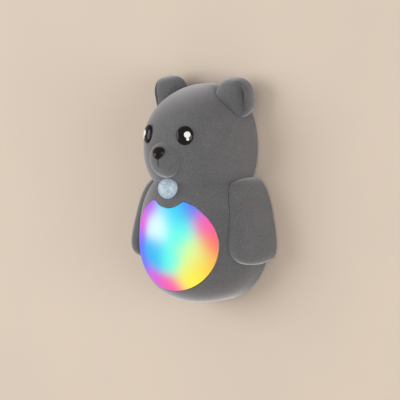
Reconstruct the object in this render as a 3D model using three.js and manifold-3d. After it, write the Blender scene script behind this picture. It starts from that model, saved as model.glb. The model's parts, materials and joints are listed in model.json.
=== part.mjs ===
// A bear-shaped night light that hangs on a wall, in millimetres, +Z up.
// The wall is the plane Y = 0, the bear looks along -Y, and X = 0 is its middle plane.
// Sizes are given as: across (X), depth (out from the wall, -Y) and height (above the bear's lowest point).
// The origin is the middle of the adhesive pad's face on the wall.
import * as THREE from 'three';
import { mergeVertices } from 'three/addons/utils/BufferGeometryUtils.js';
import Module from 'manifold-3d';

const wasm = await Module();
wasm.setup();

// Fits and walls
const clear = 0.3; // between pieces that touch
const overrun = 3; // how far a cutting tool runs past the face that it leaves
const shellWall = 2;
const edgeRoll = 1; // the round of the head's and the torso's rims at the neck
const weldShare = 1e-5;

// Torso
const torsoHalfWidth = 34.5;
const torsoWidest = 32.5; // height of the widest place, and the drop from it to the bottom
const torsoSideClose = 9.7; // how far above the neck the sides would close
const torsoFrontClose = 21.7; // the same for the front, which stays full up to the neck
const torsoReach = 32; // from the straight sides to the front of the belly
const sideDepth = 7.5; // the straight sides next to the wall
const rimDepth = 1; // the shells' rear rims stand off the wall
const neckHeight = 58.8;

// Head
const headHalfWidth = 27.6;
const headLow = 19.8; // from the neck to the head's widest place
const headDrop = 29.4;
const headRise = 31.2;
const headReach = 35.2;

// Neck opening, through both shells, open at the back
const neckHalfWidth = 18;
const neckDepth = 24;
const spigotWall = 1.6;
const spigotDrop = 3;

// Arms: lobes that lean outwards on their way down
const armRise = 4.2; // above the neck
const armBottom = 20.3;
const armHalfThickness = 9.5;
const armTuckTop = 10.3; // how far the lobe's middle lies inside the torso's widest place
const armTuckBottom = 2.2;
const armReachTop = 21.5; // out from the wall
const armReachBottom = 28.5;
const armRearLift = 4; // its lower end rises towards the wall
const armPegRadius = 2;
const armPegLength = 8;
const armPegDepth = 8;
const armPegRise = 1.5; // above the torso's widest place

// Ears
const earRadius = 11.2;
const earHalfThickness = 6.9;
const earInset = 7.6; // inside the head's widest place
const earDepth = 8.8;
const earDrop = 7.1; // below the crown
const earDishHalfWidth = 4.6;
const earDishHalfHeight = 8.8;
const earDishDepth = 4.4;
const earDishShift = 2.8; // the dish lies further out than the ear's middle
const earDishLean = THREE.MathUtils.degToRad(10); // its top leans towards the head
const earTurn = THREE.MathUtils.degToRad(5); // the dish looks a little outwards
const earPegRadius = 2;
const earPegLength = 5;

// Muzzle, nose and mouth
const muzzleDrop = 5; // below the head's widest place
const muzzleRadius = 9.5;
const muzzleSink = 4.1; // its middle lies behind the head's front
const muzzleReach = 8;
const muzzlePegRadius = 2.4;
const muzzlePegLength = 4; // behind the head's front
const noseRise = 3.2; // above the muzzle's middle
const noseHalfWidth = 3.6;
const noseHalfHeight = 3.2;
const noseThickness = 2;
const noseCorner = 1.5;
const noseSink = 1.4; // how far its back lies inside the muzzle
const noseGap = 0.45; // round the nose in its seat
const noseTilt = THREE.MathUtils.degToRad(28);
const nosePegRadius = 1.2;
const nosePegLength = 5;
const mouthLength = 3.8;
const mouthWidth = 0.6;
const mouthSink = 0.7;

// Eyes
const eyeHalfWidth = 4.35;
const eyeHalfHeight = 4.75;
const eyeRise = 2.1;
const eyeRim = 0.9; // the straight edge under the dome, sunk in its seat
const eyeAcross = 11.6;
const eyeLift = 6.9; // above the head's widest place
const eyeTurn = THREE.MathUtils.degToRad(26);
const eyeTilt = THREE.MathUtils.degToRad(8); // upwards, as the forehead leans
const eyeStemRadius = 1.5;
const eyeStemLength = 6;
const clipRadius = 2.8;
const clipThickness = 0.8;
const clipGap = 0.9; // from the shell's curved inside to the flat clip

// Belly diffuser
const bellyDrop = 4.3; // its top would lie below the neck
const bellySide = 9.3; // of the torso beside it
const bellyBottom = 7.5;
const bellyNotch = 9.8; // depth of the notch below the sensor's middle
const bellyNotchAcross = 11.4; // half its width
const bellySoftening = 2; // how far the notch's corners are rounded off
const bellyProud = 0.3;
const bellySkin = 1.6;
const bellyLip = 2; // the flange behind the shell
const bellyLipThickness = 1.1;

// Motion sensor, on the neck line
const lensRadius = 5.2;
const lensWall = 0.8;
const lensProud = 0.3; // the dome's middle, in front of the torso
const lensSkirt = 2.3;
const lensFlangeRadius = 5.9;
const lensFlangeThickness = 1;
const bossWall = 1;
const bossProud = 0.5;
const bossLength = 10;
const sensorBoardThickness = 1.2;
const sensorBoardSink = 7.8; // behind the dome's middle
const canRadius = 4.1;
const canLength = 3.6;
const canRim = 0.5;

// Rear cover
const coverThickness = 1.6;
const coverScrewRadius = 1; // the thread's core
const coverScrewHead = 2.1;
const coverScrewSink = 0.6;
const coverScrewLength = 9;
const postRadius = 3;
const postHole = 1.4;
const lowerScrewInset = 7.8;
const lowerScrewHeight = 22;
const upperScrewAcross = 10;
const upperScrewDrop = 13.8; // below the crown

// Wall plate, magnets and pad
const mountDrop = 2.8; // the pad's middle lies below the neck
const plateHalfWidth = 14;
const plateHalfHeight = 9;
const plateCorner = 3;
const plateThickness = 1.2;
const padThickness = 0.8;
const padInset = 1;
const recessFloor = 0.9; // plastic between the plate and the magnets
const recessRim = 1.2;
const magnetRadius = 4;
const magnetThickness = 2;
const magnetAcross = 8;
const pocketWall = 1;
const wellWall = 1.4; // round the switch and the button, so that no light leaves past them

// Main board and what it carries
const boardInset = 1.9; // inside the belly's height
const boardThickness = 1.6;
const boardDepth = 10; // its rear face
const boardTabHalfWidth = 7;
const boardTabBottom = 5.5;
const boardScrewInset = 3.2;
const boardScrewRadius = 0.9;
const boardScrewHead = 1.8;
const screwTaperShare = 0.8;
const boardScrewHeadHeight = 1.1;
const boardScrewLength = 6;
const boardPostRadius = 2.4;
const boardPostHole = 1.2;
const ledCount = 6;
const ledRingShare = 0.574; // of the screws' ring
const ledHalfWidth = 2.5;
const ledHeight = 1.6;
const boxWall = 1.2;
const boxFloor = 1.2;
const boxInset = 1.2; // inside the belly's outline
const boxFootShare = 0.9;
const boxFootRadius = 1.6;
const windowHalfWidth = 3.2;

// Charging socket
const socketHalfWidth = 4.5;
const socketThickness = 3.2;
const socketLength = 7.3;
const socketWall = 0.4;
const socketMouth = 2.7;
const tongueInset = 1.5;

// Slide switch and mode button, on the board's rear face
const switchAcross = 9;
const switchHalfWidth = 4.5;
const switchHalfHeight = 1.8;
const switchDepth = 3.5;
const knobHalfWidth = 1.2;
const knobHalfHeight = 1;
const knobTravel = 2; // each way from the middle position
const knobRecess = 0.5; // below the cover's face
const knobRoot = 1.6; // inside the switch's body
const buttonAcross = -9;
const buttonRadius = 2.6;
const buttonFlange = 3.5;
const buttonFlangeThickness = 0.8;
const buttonTravel = 0.8;
const tactHalfWidth = 3;
const tactDepth = 3.4;
const tactStemRadius = 1.7;
const tactStemLength = 0.8;

// Battery
const batteryHalfWidth = 16;
const batteryThickness = 7.5;
const batteryCorner = 2.5;
const foamThickness = 1;
const leadRadius = 0.6;
const leadSpacing = 2;
const plugHalfWidth = 2.6;
const plugHeight = 4;
const plugThickness = 3;
const plugRise = 16; // its top, above the belly's middle
const leadShares = [0, 0.3, 0.7, 1];
const sensorPlugHalfWidth = 2.2;
const sensorPlugHeight = 2.6;
const sensorPlugThickness = 3;
const sensorPlugInset = 0.7; // below the board's top

const finish = (color, roughness, metalness) =>
  new THREE.MeshStandardMaterial({ color, roughness, metalness });
const flock = (colour) => finish(colour, 0.95, 0);
const plastic = (colour, roughness) => finish(colour, roughness, 0);
const metal = (colour, roughness) => finish(colour, roughness, 1);
const greyFlock = flock(0x6a696c);
const glossBlack = plastic(0x0b0b0c, 0.12);
const milky = plastic(0xbfeef0, 0.35);
const lensWhite = plastic(0xb4cbd8, 0.35);
const whitePlastic = plastic(0xe8e8e6, 0.5);
const greyPlastic = plastic(0x5c5c5f, 0.55);
const blackPlastic = plastic(0x1a1a1b, 0.5);
const boardWhite = plastic(0xdfe3df, 0.4);
const foam = plastic(0x8d8f93, 0.9);
const redWire = plastic(0xa82418, 0.45);
const blackWire = plastic(0x161616, 0.45);
const foil = metal(0xb9bcc0, 0.35);
const steel = metal(0xa8abad, 0.4);
const nickel = metal(0xc9c6bd, 0.25);

// Heights and places that follow from these

const torsoRise = neckHeight + torsoSideClose - torsoWidest;
const torsoFrontRise = neckHeight + torsoFrontClose - torsoWidest;
const headBottom = neckHeight + clear;
const headWidest = neckHeight + headLow;
const headTop = headWidest + headRise;
const armTop = neckHeight + armRise;
const armLeanTop = torsoHalfWidth - armTuckTop;
const armLeanBottom = torsoHalfWidth - armTuckBottom;
const armPegHeight = torsoWidest + armPegRise;
const earAcross = headHalfWidth - earInset;
const earHeight = headTop - earDrop;
const muzzleHeight = headWidest - muzzleDrop;
const noseHeight = muzzleHeight + noseRise;
const eyeHeight = headWidest + eyeLift;
const bellyTop = neckHeight - bellyDrop;
const bellyHeight = (bellyTop + bellyBottom) / 2;
const bellyHalfWidth = torsoHalfWidth - bellySide;
const bellyHalfHeight = bellyHeight - bellyBottom;
const lowerScrewAcross = torsoHalfWidth - lowerScrewInset;
const upperScrewHeight = headTop - upperScrewDrop;
const mountHeight = neckHeight - mountDrop;
const boardRadius = bellyHalfHeight - boardInset;
const boardScrewRing = boardRadius - boardScrewInset;
const ledRing = boardScrewRing * ledRingShare;
const boxFootAcross = boardScrewRing * boxFootShare;
const batteryBottom = mountHeight + plateHalfHeight + recessRim + 2 * clear;
const batteryTop = upperScrewHeight - postRadius - clear;
const plugTop = bellyHeight + plugRise;
const sensorPlugBottom = bellyHeight + boardRadius - sensorPlugHeight - sensorPlugInset;

// Places and simple bodies

const at = (across, depth, height) => new THREE.Vector3(across, -depth, height);

// A closed geometry as a solid that can be joined and cut.
function solid(geometry) {
  const bare = geometry.clone();
  bare.deleteAttribute('normal');
  bare.deleteAttribute('uv');
  const merged = mergeVertices(bare, torsoHalfWidth * weldShare);
  const corners = Array.from(merged.index.array);
  const faces = corners
    .flatMap((_, i) => (i % 3 ? [] : [corners.slice(i, i + 3)]))
    .filter(([a, b, c]) => a !== b && b !== c && c !== a);
  return new wasm.Manifold(new wasm.Mesh({
    numProp: 3,
    vertProperties: Float32Array.from(merged.attributes.position.array),
    triVerts: Uint32Array.from(faces.flat()),
  }));
}

// A rod between two points; the radius at the far end may differ.
function rod(from, to, radius, sides = 12, endRadius = radius) {
  const along = to.clone().sub(from);
  const geometry = new THREE.CylinderGeometry(endRadius, radius, along.length(), sides);
  geometry.applyQuaternion(new THREE.Quaternion().setFromUnitVectors(new THREE.Vector3(0, 1, 0),
    along.clone().normalize()));
  const middle = from.clone().add(to).multiplyScalar(1 / 2);
  return solid(geometry.translate(middle.x, middle.y, middle.z));
}

// A rod that stands out from the wall.
const post = (across, height, fromDepth, toDepth, radius, sides) =>
  rod(at(across, fromDepth, height), at(across, toDepth, height), radius, sides);

// A block given by its half width, its depths and its heights.
function block(across, halfWidth, fromDepth, toDepth, bottom, top) {
  const geometry = new THREE.BoxGeometry(2 * halfWidth, toDepth - fromDepth, top - bottom);
  return solid(geometry.translate(across, -(fromDepth + toDepth) / 2, (bottom + top) / 2));
}

// An outline drawn across and upwards, given a depth.
function plate(outline, fromDepth, toDepth, curveSegments = 4) {
  const geometry = new THREE.ExtrudeGeometry(outline, {
    depth: toDepth - fromDepth, bevelEnabled: false, curveSegments,
  });
  return solid(geometry.rotateX(Math.PI / 2).translate(0, -fromDepth, 0));
}

// A body drawn by its sections, from the lowest to the highest, closed by flat ends.
function loft(sections) {
  const count = sections[0].length;
  const positions = sections.flat().flatMap((point) => [point.x, point.y, point.z]);
  const ends = [sections[0], sections.at(-1)].map((section) => section
    .reduce((sum, point) => sum.add(point), new THREE.Vector3()).multiplyScalar(1 / count));
  positions.push(...ends.flatMap((point) => [point.x, point.y, point.z]));
  const lowest = sections.length * count;
  const lastRing = (sections.length - 1) * count;
  const faces = [];
  for (let i = 0; i < count; i += 1) {
    const next = (i + 1) % count;
    faces.push(lowest, next, i, lowest + 1, lastRing + i, lastRing + next);
    for (let ring = 0; ring < lastRing; ring += count) {
      faces.push(ring + i, ring + next, ring + count + next);
      faces.push(ring + i, ring + count + next, ring + count + i);
    }
  }
  const geometry = new THREE.BufferGeometry();
  geometry.setAttribute('position', new THREE.Float32BufferAttribute(positions, 3));
  return geometry.setIndex(faces);
}

function mesh(name, body, material) {
  const made = body.getMesh();
  const geometry = new THREE.BufferGeometry();
  geometry.setAttribute('position', new THREE.BufferAttribute(made.vertProperties, 3));
  geometry.setIndex(new THREE.BufferAttribute(made.triVerts, 1));
  const named = new THREE.Mesh(geometry, material);
  named.name = name;
  return named;
}

// The right and the left one of a piece that comes in pairs.
function pair(name, body, material) {
  const right = mesh(`right_${name}`, body, material);
  const left = new THREE.Mesh(right.geometry, material);
  left.name = `left_${name}`;
  left.scale.x = -1;
  return [right, left];
}

const bothSides = (makeOne) => [-1, 1].map(makeOne);
const joined = (bodies) => bodies.reduce((sum, body) => sum.add(body));
const cut = (body, tools) => tools.reduce((rest, tool) => rest.subtract(tool), body);

// The forms of torso and head

// How full a round form still is at a share of the way to its end.
const fullness = (share, power, endPower = power) =>
  Math.max(0, 1 - Math.abs(share) ** power) ** (1 / endPower);

const sectionSteps = 16;

// A section with a straight back and sides and a round front.
function bodySection(halfWidth, reach, height, back, power) {
  const points = [at(halfWidth, back, height), at(-halfWidth, back, height)];
  for (let i = 0; i <= sectionSteps; i += 1) {
    const angle = Math.PI * (i / sectionSteps);
    const across = -Math.sign(Math.cos(angle)) * Math.abs(Math.cos(angle)) ** (2 / power);
    points.push(at(across * halfWidth, sideDepth + reach * Math.sin(angle) ** (2 / power), height));
  }
  return points;
}

// Each form gives its half width and its reach at a height, when it is drawn in by an inset.
const torsoPowers = { below: 2.15, above: 2.3, frontBelow: 2.6, frontAbove: 3, section: 2 };
const headPowers = { below: 2.3, above: 2.2, frontBelow: 2.1, front: 2.5, frontEnd: 1.4, section: 2.1 };

function torsoSize(height, inset) {
  const rise = height - torsoWidest;
  const above = rise > 0;
  const share = rise / ((above ? torsoRise : torsoWidest) - inset);
  const frontShare = rise / ((above ? torsoFrontRise : torsoWidest) - inset);
  return {
    halfWidth: (torsoHalfWidth - inset) * fullness(share, above ? torsoPowers.above : torsoPowers.below),
    reach: (torsoReach - inset)
      * fullness(frontShare, above ? torsoPowers.frontAbove : torsoPowers.frontBelow),
  };
}

function headSize(height, inset) {
  const rise = height - headWidest;
  const above = rise > 0;
  const share = rise / ((above ? headRise : headDrop) - inset);
  return {
    halfWidth: (headHalfWidth - inset) * fullness(share, above ? headPowers.above : headPowers.below),
    reach: (headReach - inset) * (above
      ? fullness(share, headPowers.front, headPowers.frontEnd)
      : fullness(share, headPowers.frontBelow)),
  };
}

// How much a rim is drawn in by its round, at a distance from its edge.
const rolledIn = (toEdge) => (toEdge >= edgeRoll ? 0
  : edgeRoll - Math.sqrt(Math.max(0, edgeRoll ** 2 - (edgeRoll - toEdge) ** 2)));

const endAngle = 0.12; // where a round end is closed by a small flat, in radians
const roundSteps = 6;
const torsoSteps = 4; // from the widest place to the neck
const headSteps = 3; // from the neck to the widest place
const rollSteps = 3;

// Heights that lie closer together towards a round end.
function heightsToEnd(from, to) {
  const quarter = Math.PI / 2 - endAngle;
  return Array.from({ length: roundSteps + 1 }, (_, i) =>
    from + (to - from) * Math.sin(quarter * (i / roundSteps)));
}

function torsoForm(inset, back, top, rolled) {
  const below = heightsToEnd(torsoWidest, inset).reverse();
  const straight = top - (rolled ? edgeRoll : 0);
  const above = Array.from({ length: torsoSteps }, (_, i) =>
    torsoWidest + (straight - torsoWidest) * ((i + 1) / torsoSteps));
  const rim = rolled ? Array.from({ length: rollSteps }, (_, i) =>
    straight + edgeRoll * Math.sin((Math.PI / 2) * ((i + 1) / rollSteps))) : [];
  return solid(loft([...below, ...above, ...rim].map((height) => {
    const size = torsoSize(height, inset);
    const drawnIn = rolled ? rolledIn(top - height) : 0;
    return bodySection(size.halfWidth - drawnIn, size.reach - drawnIn, height, back, torsoPowers.section);
  })));
}

function headForm(inset, back, bottom, rolled) {
  const straight = bottom + (rolled ? edgeRoll : 0);
  const rim = rolled ? Array.from({ length: rollSteps }, (_, i) =>
    straight - edgeRoll * Math.cos((Math.PI / 2) * (i / rollSteps))) : [];
  const below = Array.from({ length: headSteps }, (_, i) =>
    straight + (headWidest - straight) * (i / headSteps));
  const above = heightsToEnd(headWidest, headWidest + headRise - inset);
  return solid(loft([...rim, ...below, ...above].map((height) => {
    const size = headSize(height, inset);
    const drawnIn = rolled ? rolledIn(height - bottom) : 0;
    return bodySection(size.halfWidth - drawnIn, size.reach - drawnIn, height, back, headPowers.section);
  })));
}

// Front of the torso or head over a point, out from the wall.
const frontDepth = (size, across, power) =>
  sideDepth + size.reach * fullness(across / size.halfWidth, power);

// The plug-shaped neck opening that both shells share.
function neckPlug(inset, bottom, top, back) {
  const halfWidth = neckHalfWidth - inset;
  const reach = neckDepth - sideDepth - inset;
  return solid(loft([bottom, top].map((height) =>
    bodySection(halfWidth, reach, height, back, torsoPowers.section))));
}

const muzzleSeat = frontDepth(headSize(muzzleHeight, 0), 0, headPowers.section);
const muzzleDepth = muzzleSeat - muzzleSink;
const torsoFront = frontDepth(torsoSize(neckHeight, 0), 0, torsoPowers.section);
const lensDepth = torsoFront + lensProud; // middle of the dome
const bossFront = torsoFront + bossProud;
const bossBack = bossFront - bossLength;
const sensorBoardDepth = lensDepth - sensorBoardSink;

// Belly outline

// The belly is an ellipse with a round notch in its top, grown by an amount.
function bellyOutline(grown) {
  const width = bellyHalfWidth + grown;
  const height = bellyHalfHeight + grown;
  const notch = bellyNotch - grown;
  const notchAcross = bellyNotchAcross - grown;
  const onEllipse = (angle) =>
    new THREE.Vector2(width * Math.sin(angle), bellyHeight + height * Math.cos(angle));
  let inside = 0;
  let outside = Math.PI / 2;
  while (outside - inside > weldShare) {
    const middle = (inside + outside) / 2;
    const point = onEllipse(middle);
    if (Math.hypot(point.x / notchAcross, (neckHeight - point.y) / notch) < 1) inside = middle;
    else outside = middle;
  }
  const corner = onEllipse(inside);
  const ellipseStart = inside + bellySoftening / width;
  const notchAngle = Math.asin(corner.x / notchAcross) - bellySoftening / notchAcross;
  const onNotch = (angle) =>
    new THREE.Vector2(notchAcross * Math.sin(angle), neckHeight - notch * Math.cos(angle));
  const outline = new THREE.Shape();
  const steps = 28;
  for (let i = 0; i <= steps; i += 1) {
    const angle = ellipseStart + (2 * Math.PI - 2 * ellipseStart) * (i / steps);
    const point = onEllipse(angle);
    if (i === 0) outline.moveTo(point.x, point.y);
    else outline.lineTo(point.x, point.y);
  }
  const notchStart = onNotch(-notchAngle);
  outline.quadraticCurveTo(-corner.x, corner.y, notchStart.x, notchStart.y);
  const notchSteps = 6;
  for (let i = 1; i <= notchSteps; i += 1) {
    const point = onNotch(-notchAngle + 2 * notchAngle * (i / notchSteps));
    outline.lineTo(point.x, point.y);
  }
  const ellipseFirst = onEllipse(ellipseStart);
  outline.quadraticCurveTo(corner.x, corner.y, ellipseFirst.x, ellipseFirst.y);
  return outline;
}

const farDepth = muzzleDepth + muzzleReach + overrun; // in front of everything
const bellyFront = sideDepth; // the belly's cuts and pieces lie in front of the straight sides
const bellyPrism = (grown, from = bellyFront) => plate(bellyOutline(grown), from, farDepth, 3);
const torsoInner = (inset) => torsoForm(inset, -overrun, neckHeight - inset, false);

// Torso shell

const coverInner = rimDepth + coverThickness; // the cover's inner face
const postStart = coverInner + clear;
const bossRadius = lensFlangeRadius + clear + bossWall;

const torsoBody = torsoForm(0, rimDepth, neckHeight, true);

function torsoShell() {
  const posts = bothSides((side) =>
    post(side * lowerScrewAcross, lowerScrewHeight, postStart, farDepth, postRadius))
    .map((body) => body.intersect(torsoForm(shellWall / 2, rimDepth, neckHeight, false)));
  const boss = post(0, neckHeight, bossBack, bossFront, bossRadius, 20);
  const hollow = torsoInner(shellWall);
  const shell = torsoBody.subtract(hollow);
  return cut(joined([shell, ...posts, boss]), [
    neckPlug(-clear, neckHeight - shellWall - overrun, neckHeight + overrun, -overrun),
    bellyPrism(clear),
    post(0, neckHeight, bossBack - overrun, farDepth, lensRadius + clear, 20),
    post(0, neckHeight, bossBack - overrun, lensFlangeFront + clear, lensFlangeRadius + clear, 20),
    block(0, socketHalfWidth + clear, socketDepthFrom - clear, socketDepthTo + clear,
      -overrun, socketMouth + shellWall),
    ...bothSides((side) => post(side * lowerScrewAcross, lowerScrewHeight, 0,
      postStart + coverScrewLength, postHole, 8)),
    ...bothSides((side) => rod(at(0, armPegDepth, armPegHeight),
      at(side * (torsoHalfWidth + overrun), armPegDepth, armPegHeight), armPegRadius + clear)),
  ]);
}

const lensFlangeFront = lensDepth - lensSkirt + lensFlangeThickness;
const socketDepthTo = boardDepth - clear;
const socketDepthFrom = socketDepthTo - socketThickness;

// Head shell

// Where an eye sits on the head: its place on the surface and the way that it looks.
const eyeDepth = frontDepth(headSize(eyeHeight, 0), eyeAcross, headPowers.section);
const eyeRotation = new THREE.Euler(-eyeTilt, 0, eyeTurn, 'ZXY');

// A body drawn on the eye's own axis, which runs along -Y, put in its place.
function onEye(geometry) {
  const facing = geometry.rotateX(Math.PI);
  facing.applyMatrix4(new THREE.Matrix4().makeRotationFromEuler(eyeRotation));
  const place = at(eyeAcross, eyeDepth, eyeHeight);
  return solid(facing.translate(place.x, place.y, place.z));
}

// A turned profile; its points are radius and height along the axis, from the axis round to the axis.
const turned = (points, segments) =>
  new THREE.LatheGeometry(points.map(([radius, height]) => new THREE.Vector2(radius, height)), segments);

const eyeSeat = (grown) => onEye(new THREE.CylinderGeometry(eyeHalfHeight + grown, eyeHalfHeight + grown,
  overrun + eyeRim, 18).scale(eyeHalfWidth / eyeHalfHeight, 1, 1).translate(0, (overrun - eyeRim) / 2, 0));
const eyeStem = (grown) => onEye(new THREE.CylinderGeometry(eyeStemRadius + grown, eyeStemRadius + grown,
  eyeStemLength, 10).translate(0, -eyeStemLength / 2, 0));

function mirrored(body) {
  const made = body.getMesh();
  const positions = made.vertProperties.map((value, i) => (i % 3 ? value : -value));
  const faces = made.triVerts.map((_, i) => made.triVerts[i - (i % 3) + ((3 - (i % 3)) % 3)]);
  return new wasm.Manifold(new wasm.Mesh({ numProp: 3, vertProperties: positions, triVerts: faces }));
}
const onBothSides = (body) => [body, mirrored(body)];

const headBody = headForm(0, rimDepth, headBottom, true);
const earMiddle = at(earAcross, earDepth, earHeight);
// A rod from inside the ear towards the head's middle.
function earPeg(grown) {
  const inwards = new THREE.Vector3(-1, 0, -1).normalize();
  const middle = at(earAcross, earDepth - earPegRadius / 2, earHeight);
  return rod(middle.clone().addScaledVector(inwards, -earRadius / 3),
    middle.clone().addScaledVector(inwards, earPegLength + grown), earPegRadius + grown, 10);
}

function headShell() {
  const hollow = headForm(shellWall, -overrun, headBottom + shellWall, false);
  const posts = bothSides((side) =>
    post(side * upperScrewAcross, upperScrewHeight, postStart, farDepth, postRadius))
    .map((body) => body.intersect(headForm(shellWall / 2, rimDepth, headBottom, false)));
  const spigotBottom = neckHeight - spigotDrop;
  const spigotTop = headBottom + shellWall;
  const spigot = neckPlug(0, spigotBottom, spigotTop, coverInner);
  return cut(joined([headBody.subtract(hollow), ...posts, spigot]), [
    neckPlug(spigotWall, spigotBottom - overrun, spigotTop + overrun, -overrun),
    post(0, neckHeight, neckDepth, bossFront + clear, bossRadius + clear, 20),
    post(0, neckHeight, neckDepth, farDepth, lensRadius + clear, 20),
    post(0, muzzleHeight, muzzleSeat - muzzlePegLength - overrun, farDepth, muzzlePegRadius + clear),
    nosePeg(clear, nosePegLength + overrun),
    ...onBothSides(eyeSeat(clear)),
    ...onBothSides(eyeStem(clear)),
    ...onBothSides(earPeg(clear)),
    ...bothSides((side) => post(side * upperScrewAcross, upperScrewHeight, 0,
      postStart + coverScrewLength, postHole, 8)),
  ]);
}

// Arms

const armPowers = { upright: 2.7, front: 4, section: 2.4 };

function armSize(height) {
  const share = (height - armBottom) / (armTop - armBottom);
  return {
    share,
    lean: THREE.MathUtils.lerp(armLeanBottom, armLeanTop, share),
    halfThickness: armHalfThickness * fullness(2 * share - 1, armPowers.upright),
    reach: THREE.MathUtils.lerp(armReachBottom, armReachTop, share)
      * fullness(2 * share - 1, armPowers.front),
  };
}

function arm() {
  const middle = (armTop + armBottom) / 2;
  const heights = [...heightsToEnd(middle, armBottom).reverse(), ...heightsToEnd(middle, armTop).slice(1)];
  const steps = 12;
  const lobe = solid(loft(heights.map((height) => {
    const { share, lean, halfThickness, reach } = armSize(height);
    const point = (across, out) => at(lean + across * halfThickness, rimDepth + (reach - rimDepth) * out,
      height + armRearLift * ((1 - share) * (1 - out)) ** 2);
    const points = [point(1, 0), point(-1, 0)];
    for (let i = 1; i < steps; i += 1) {
      const angle = Math.PI * (i / steps);
      const across = -Math.sign(Math.cos(angle)) * Math.abs(Math.cos(angle)) ** (2 / armPowers.section);
      points.push(point(across, Math.sin(angle) ** (2 / armPowers.section)));
    }
    return points;
  })));
  const pegSize = armSize(armPegHeight);
  const pegEnd = pegSize.lean + pegSize.halfThickness - armPegRadius;
  const peg = rod(at(pegEnd, armPegDepth, armPegHeight),
    at(pegEnd - armPegLength, armPegDepth, armPegHeight), armPegRadius);
  return cut(lobe, [
    torsoForm(-clear, -overrun, neckHeight + clear, false),
    headForm(-clear, -overrun, neckHeight, false),
  ]).add(peg);
}

// Ears

function ear() {
  const turn = (geometry) => solid(geometry.rotateZ(earTurn)
    .translate(earMiddle.x, earMiddle.y, earMiddle.z));
  const disc = turn(new THREE.SphereGeometry(1, 18, 12).rotateX(Math.PI / 2)
    .scale(earRadius, earHalfThickness, earRadius));
  const dish = turn(new THREE.SphereGeometry(1, 14, 8).rotateX(Math.PI / 2)
    .scale(earDishHalfWidth, earDishDepth, earDishHalfHeight).rotateY(-earDishLean)
    .translate(earDishShift, -earHalfThickness, 0));
  return disc.subtract(dish).subtract(headForm(-clear, -overrun, headBottom, false)).add(earPeg(0));
}

// Muzzle, nose and eyes

// A rounded triangle that points down, grown by an amount.
function noseOutline(grown) {
  const half = noseHalfWidth + grown;
  const height = noseHalfHeight + grown;
  const corner = noseCorner;
  const outline = new THREE.Shape();
  outline.moveTo(-half + corner, height);
  outline.lineTo(half - corner, height);
  outline.quadraticCurveTo(half, height, half, height - corner);
  outline.quadraticCurveTo(half - corner / 2, -height / 2, corner / 2, -height);
  outline.quadraticCurveTo(0, -height - corner / 6, -corner / 2, -height);
  outline.quadraticCurveTo(-half + corner / 2, -height / 2, -half, height - corner);
  outline.quadraticCurveTo(-half, height, -half + corner, height);
  return outline;
}

// The nose's own frame stands on the muzzle's surface and leans back.
const noseShare = (noseHeight - muzzleHeight) / muzzleRadius;
const noseDepth = muzzleDepth + muzzleReach * fullness(noseShare, 2);
function onNose(geometry) {
  return solid(geometry.rotateX(Math.PI / 2).rotateX(-noseTilt)
    .translate(0, -noseDepth, noseHeight));
}

const nosePeg = (grown, length) => onNose(new THREE.CylinderGeometry(nosePegRadius + grown,
  nosePegRadius + grown, length, 10).rotateX(Math.PI / 2).translate(0, 0, -length / 2));

function nose() {
  const bevel = noseThickness / 2;
  const pad = onNose(new THREE.ExtrudeGeometry(noseOutline(-bevel), {
    depth: noseThickness - bevel, bevelEnabled: true, bevelThickness: bevel, bevelSize: bevel,
    bevelSegments: 3, curveSegments: 4,
  }).translate(0, 0, -noseSink + bevel));
  return pad.add(nosePeg(0, nosePegLength));
}

function muzzle() {
  const ball = solid(new THREE.SphereGeometry(1, 22, 14).rotateX(Math.PI / 2)
    .scale(muzzleRadius, muzzleReach, muzzleRadius).translate(0, -muzzleDepth, muzzleHeight));
  const seat = onNose(new THREE.ExtrudeGeometry(noseOutline(noseGap), {
    depth: overrun + noseSink, bevelEnabled: false, curveSegments: 4,
  }).translate(0, 0, -noseSink - clear));
  const lipTop = noseHeight - noseHalfHeight;
  const lipDepth = muzzleDepth + muzzleReach;
  const mouth = block(0, mouthWidth / 2, lipDepth - mouthSink - mouthWidth, farDepth,
    lipTop - mouthLength, lipTop);
  const peg = post(0, muzzleHeight, muzzleSeat - muzzlePegLength, muzzleSeat + muzzlePegRadius / 2,
    muzzlePegRadius);
  return cut(ball, [
    headForm(-clear, -overrun, headBottom, false),
    post(0, neckHeight, neckDepth, farDepth, lensRadius + clear, 20),
  ]).add(peg).subtract(seat).subtract(nosePeg(clear, nosePegLength + overrun)).subtract(mouth);
}

function eye() {
  const domeSteps = 3;
  const dome = Array.from({ length: domeSteps + 1 }, (_, i) => {
    const angle = (Math.PI / 2) * (i / domeSteps);
    return [eyeHalfHeight * Math.cos(angle), eyeRise * Math.sin(angle)];
  });
  const profile = [[0, -eyeRim + clear], [eyeHalfHeight, -eyeRim + clear], ...dome];
  return onEye(turned(profile, 18).scale(eyeHalfWidth / eyeHalfHeight, 1, 1)).add(eyeStem(0));
}

// A push-on clip that holds an eye's stem behind the shell.
function eyeClip() {
  const from = -shellWall - clipGap - clipThickness;
  const ring = [
    [eyeStemRadius + clear, from], [clipRadius, from],
    [clipRadius, from + clipThickness], [eyeStemRadius + clear, from + clipThickness],
    [eyeStemRadius + clear, from],
  ];
  return onEye(turned(ring, 12));
}

// Belly diffuser

const lipInset = shellWall + clear;
const backInset = lipInset + bellyLipThickness;

function diffuser() {
  const skin = bellyPrism(0).intersect(torsoForm(-bellyProud, rimDepth, neckHeight + clear, false));
  const hollow = bellyPrism(-bellyLip).intersect(torsoInner(bellySkin - bellyProud));
  const lip = cut(bellyPrism(bellyLip).intersect(torsoInner(lipInset)), bothSides((side) =>
    post(side * lowerScrewAcross, lowerScrewHeight, 0, farDepth, postRadius + clear)));
  return skin.add(lip).subtract(torsoInner(backInset)).subtract(hollow)
    .subtract(post(0, neckHeight, bossBack - overrun, farDepth, bossRadius + clear, 20));
}

// Sensor

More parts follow.
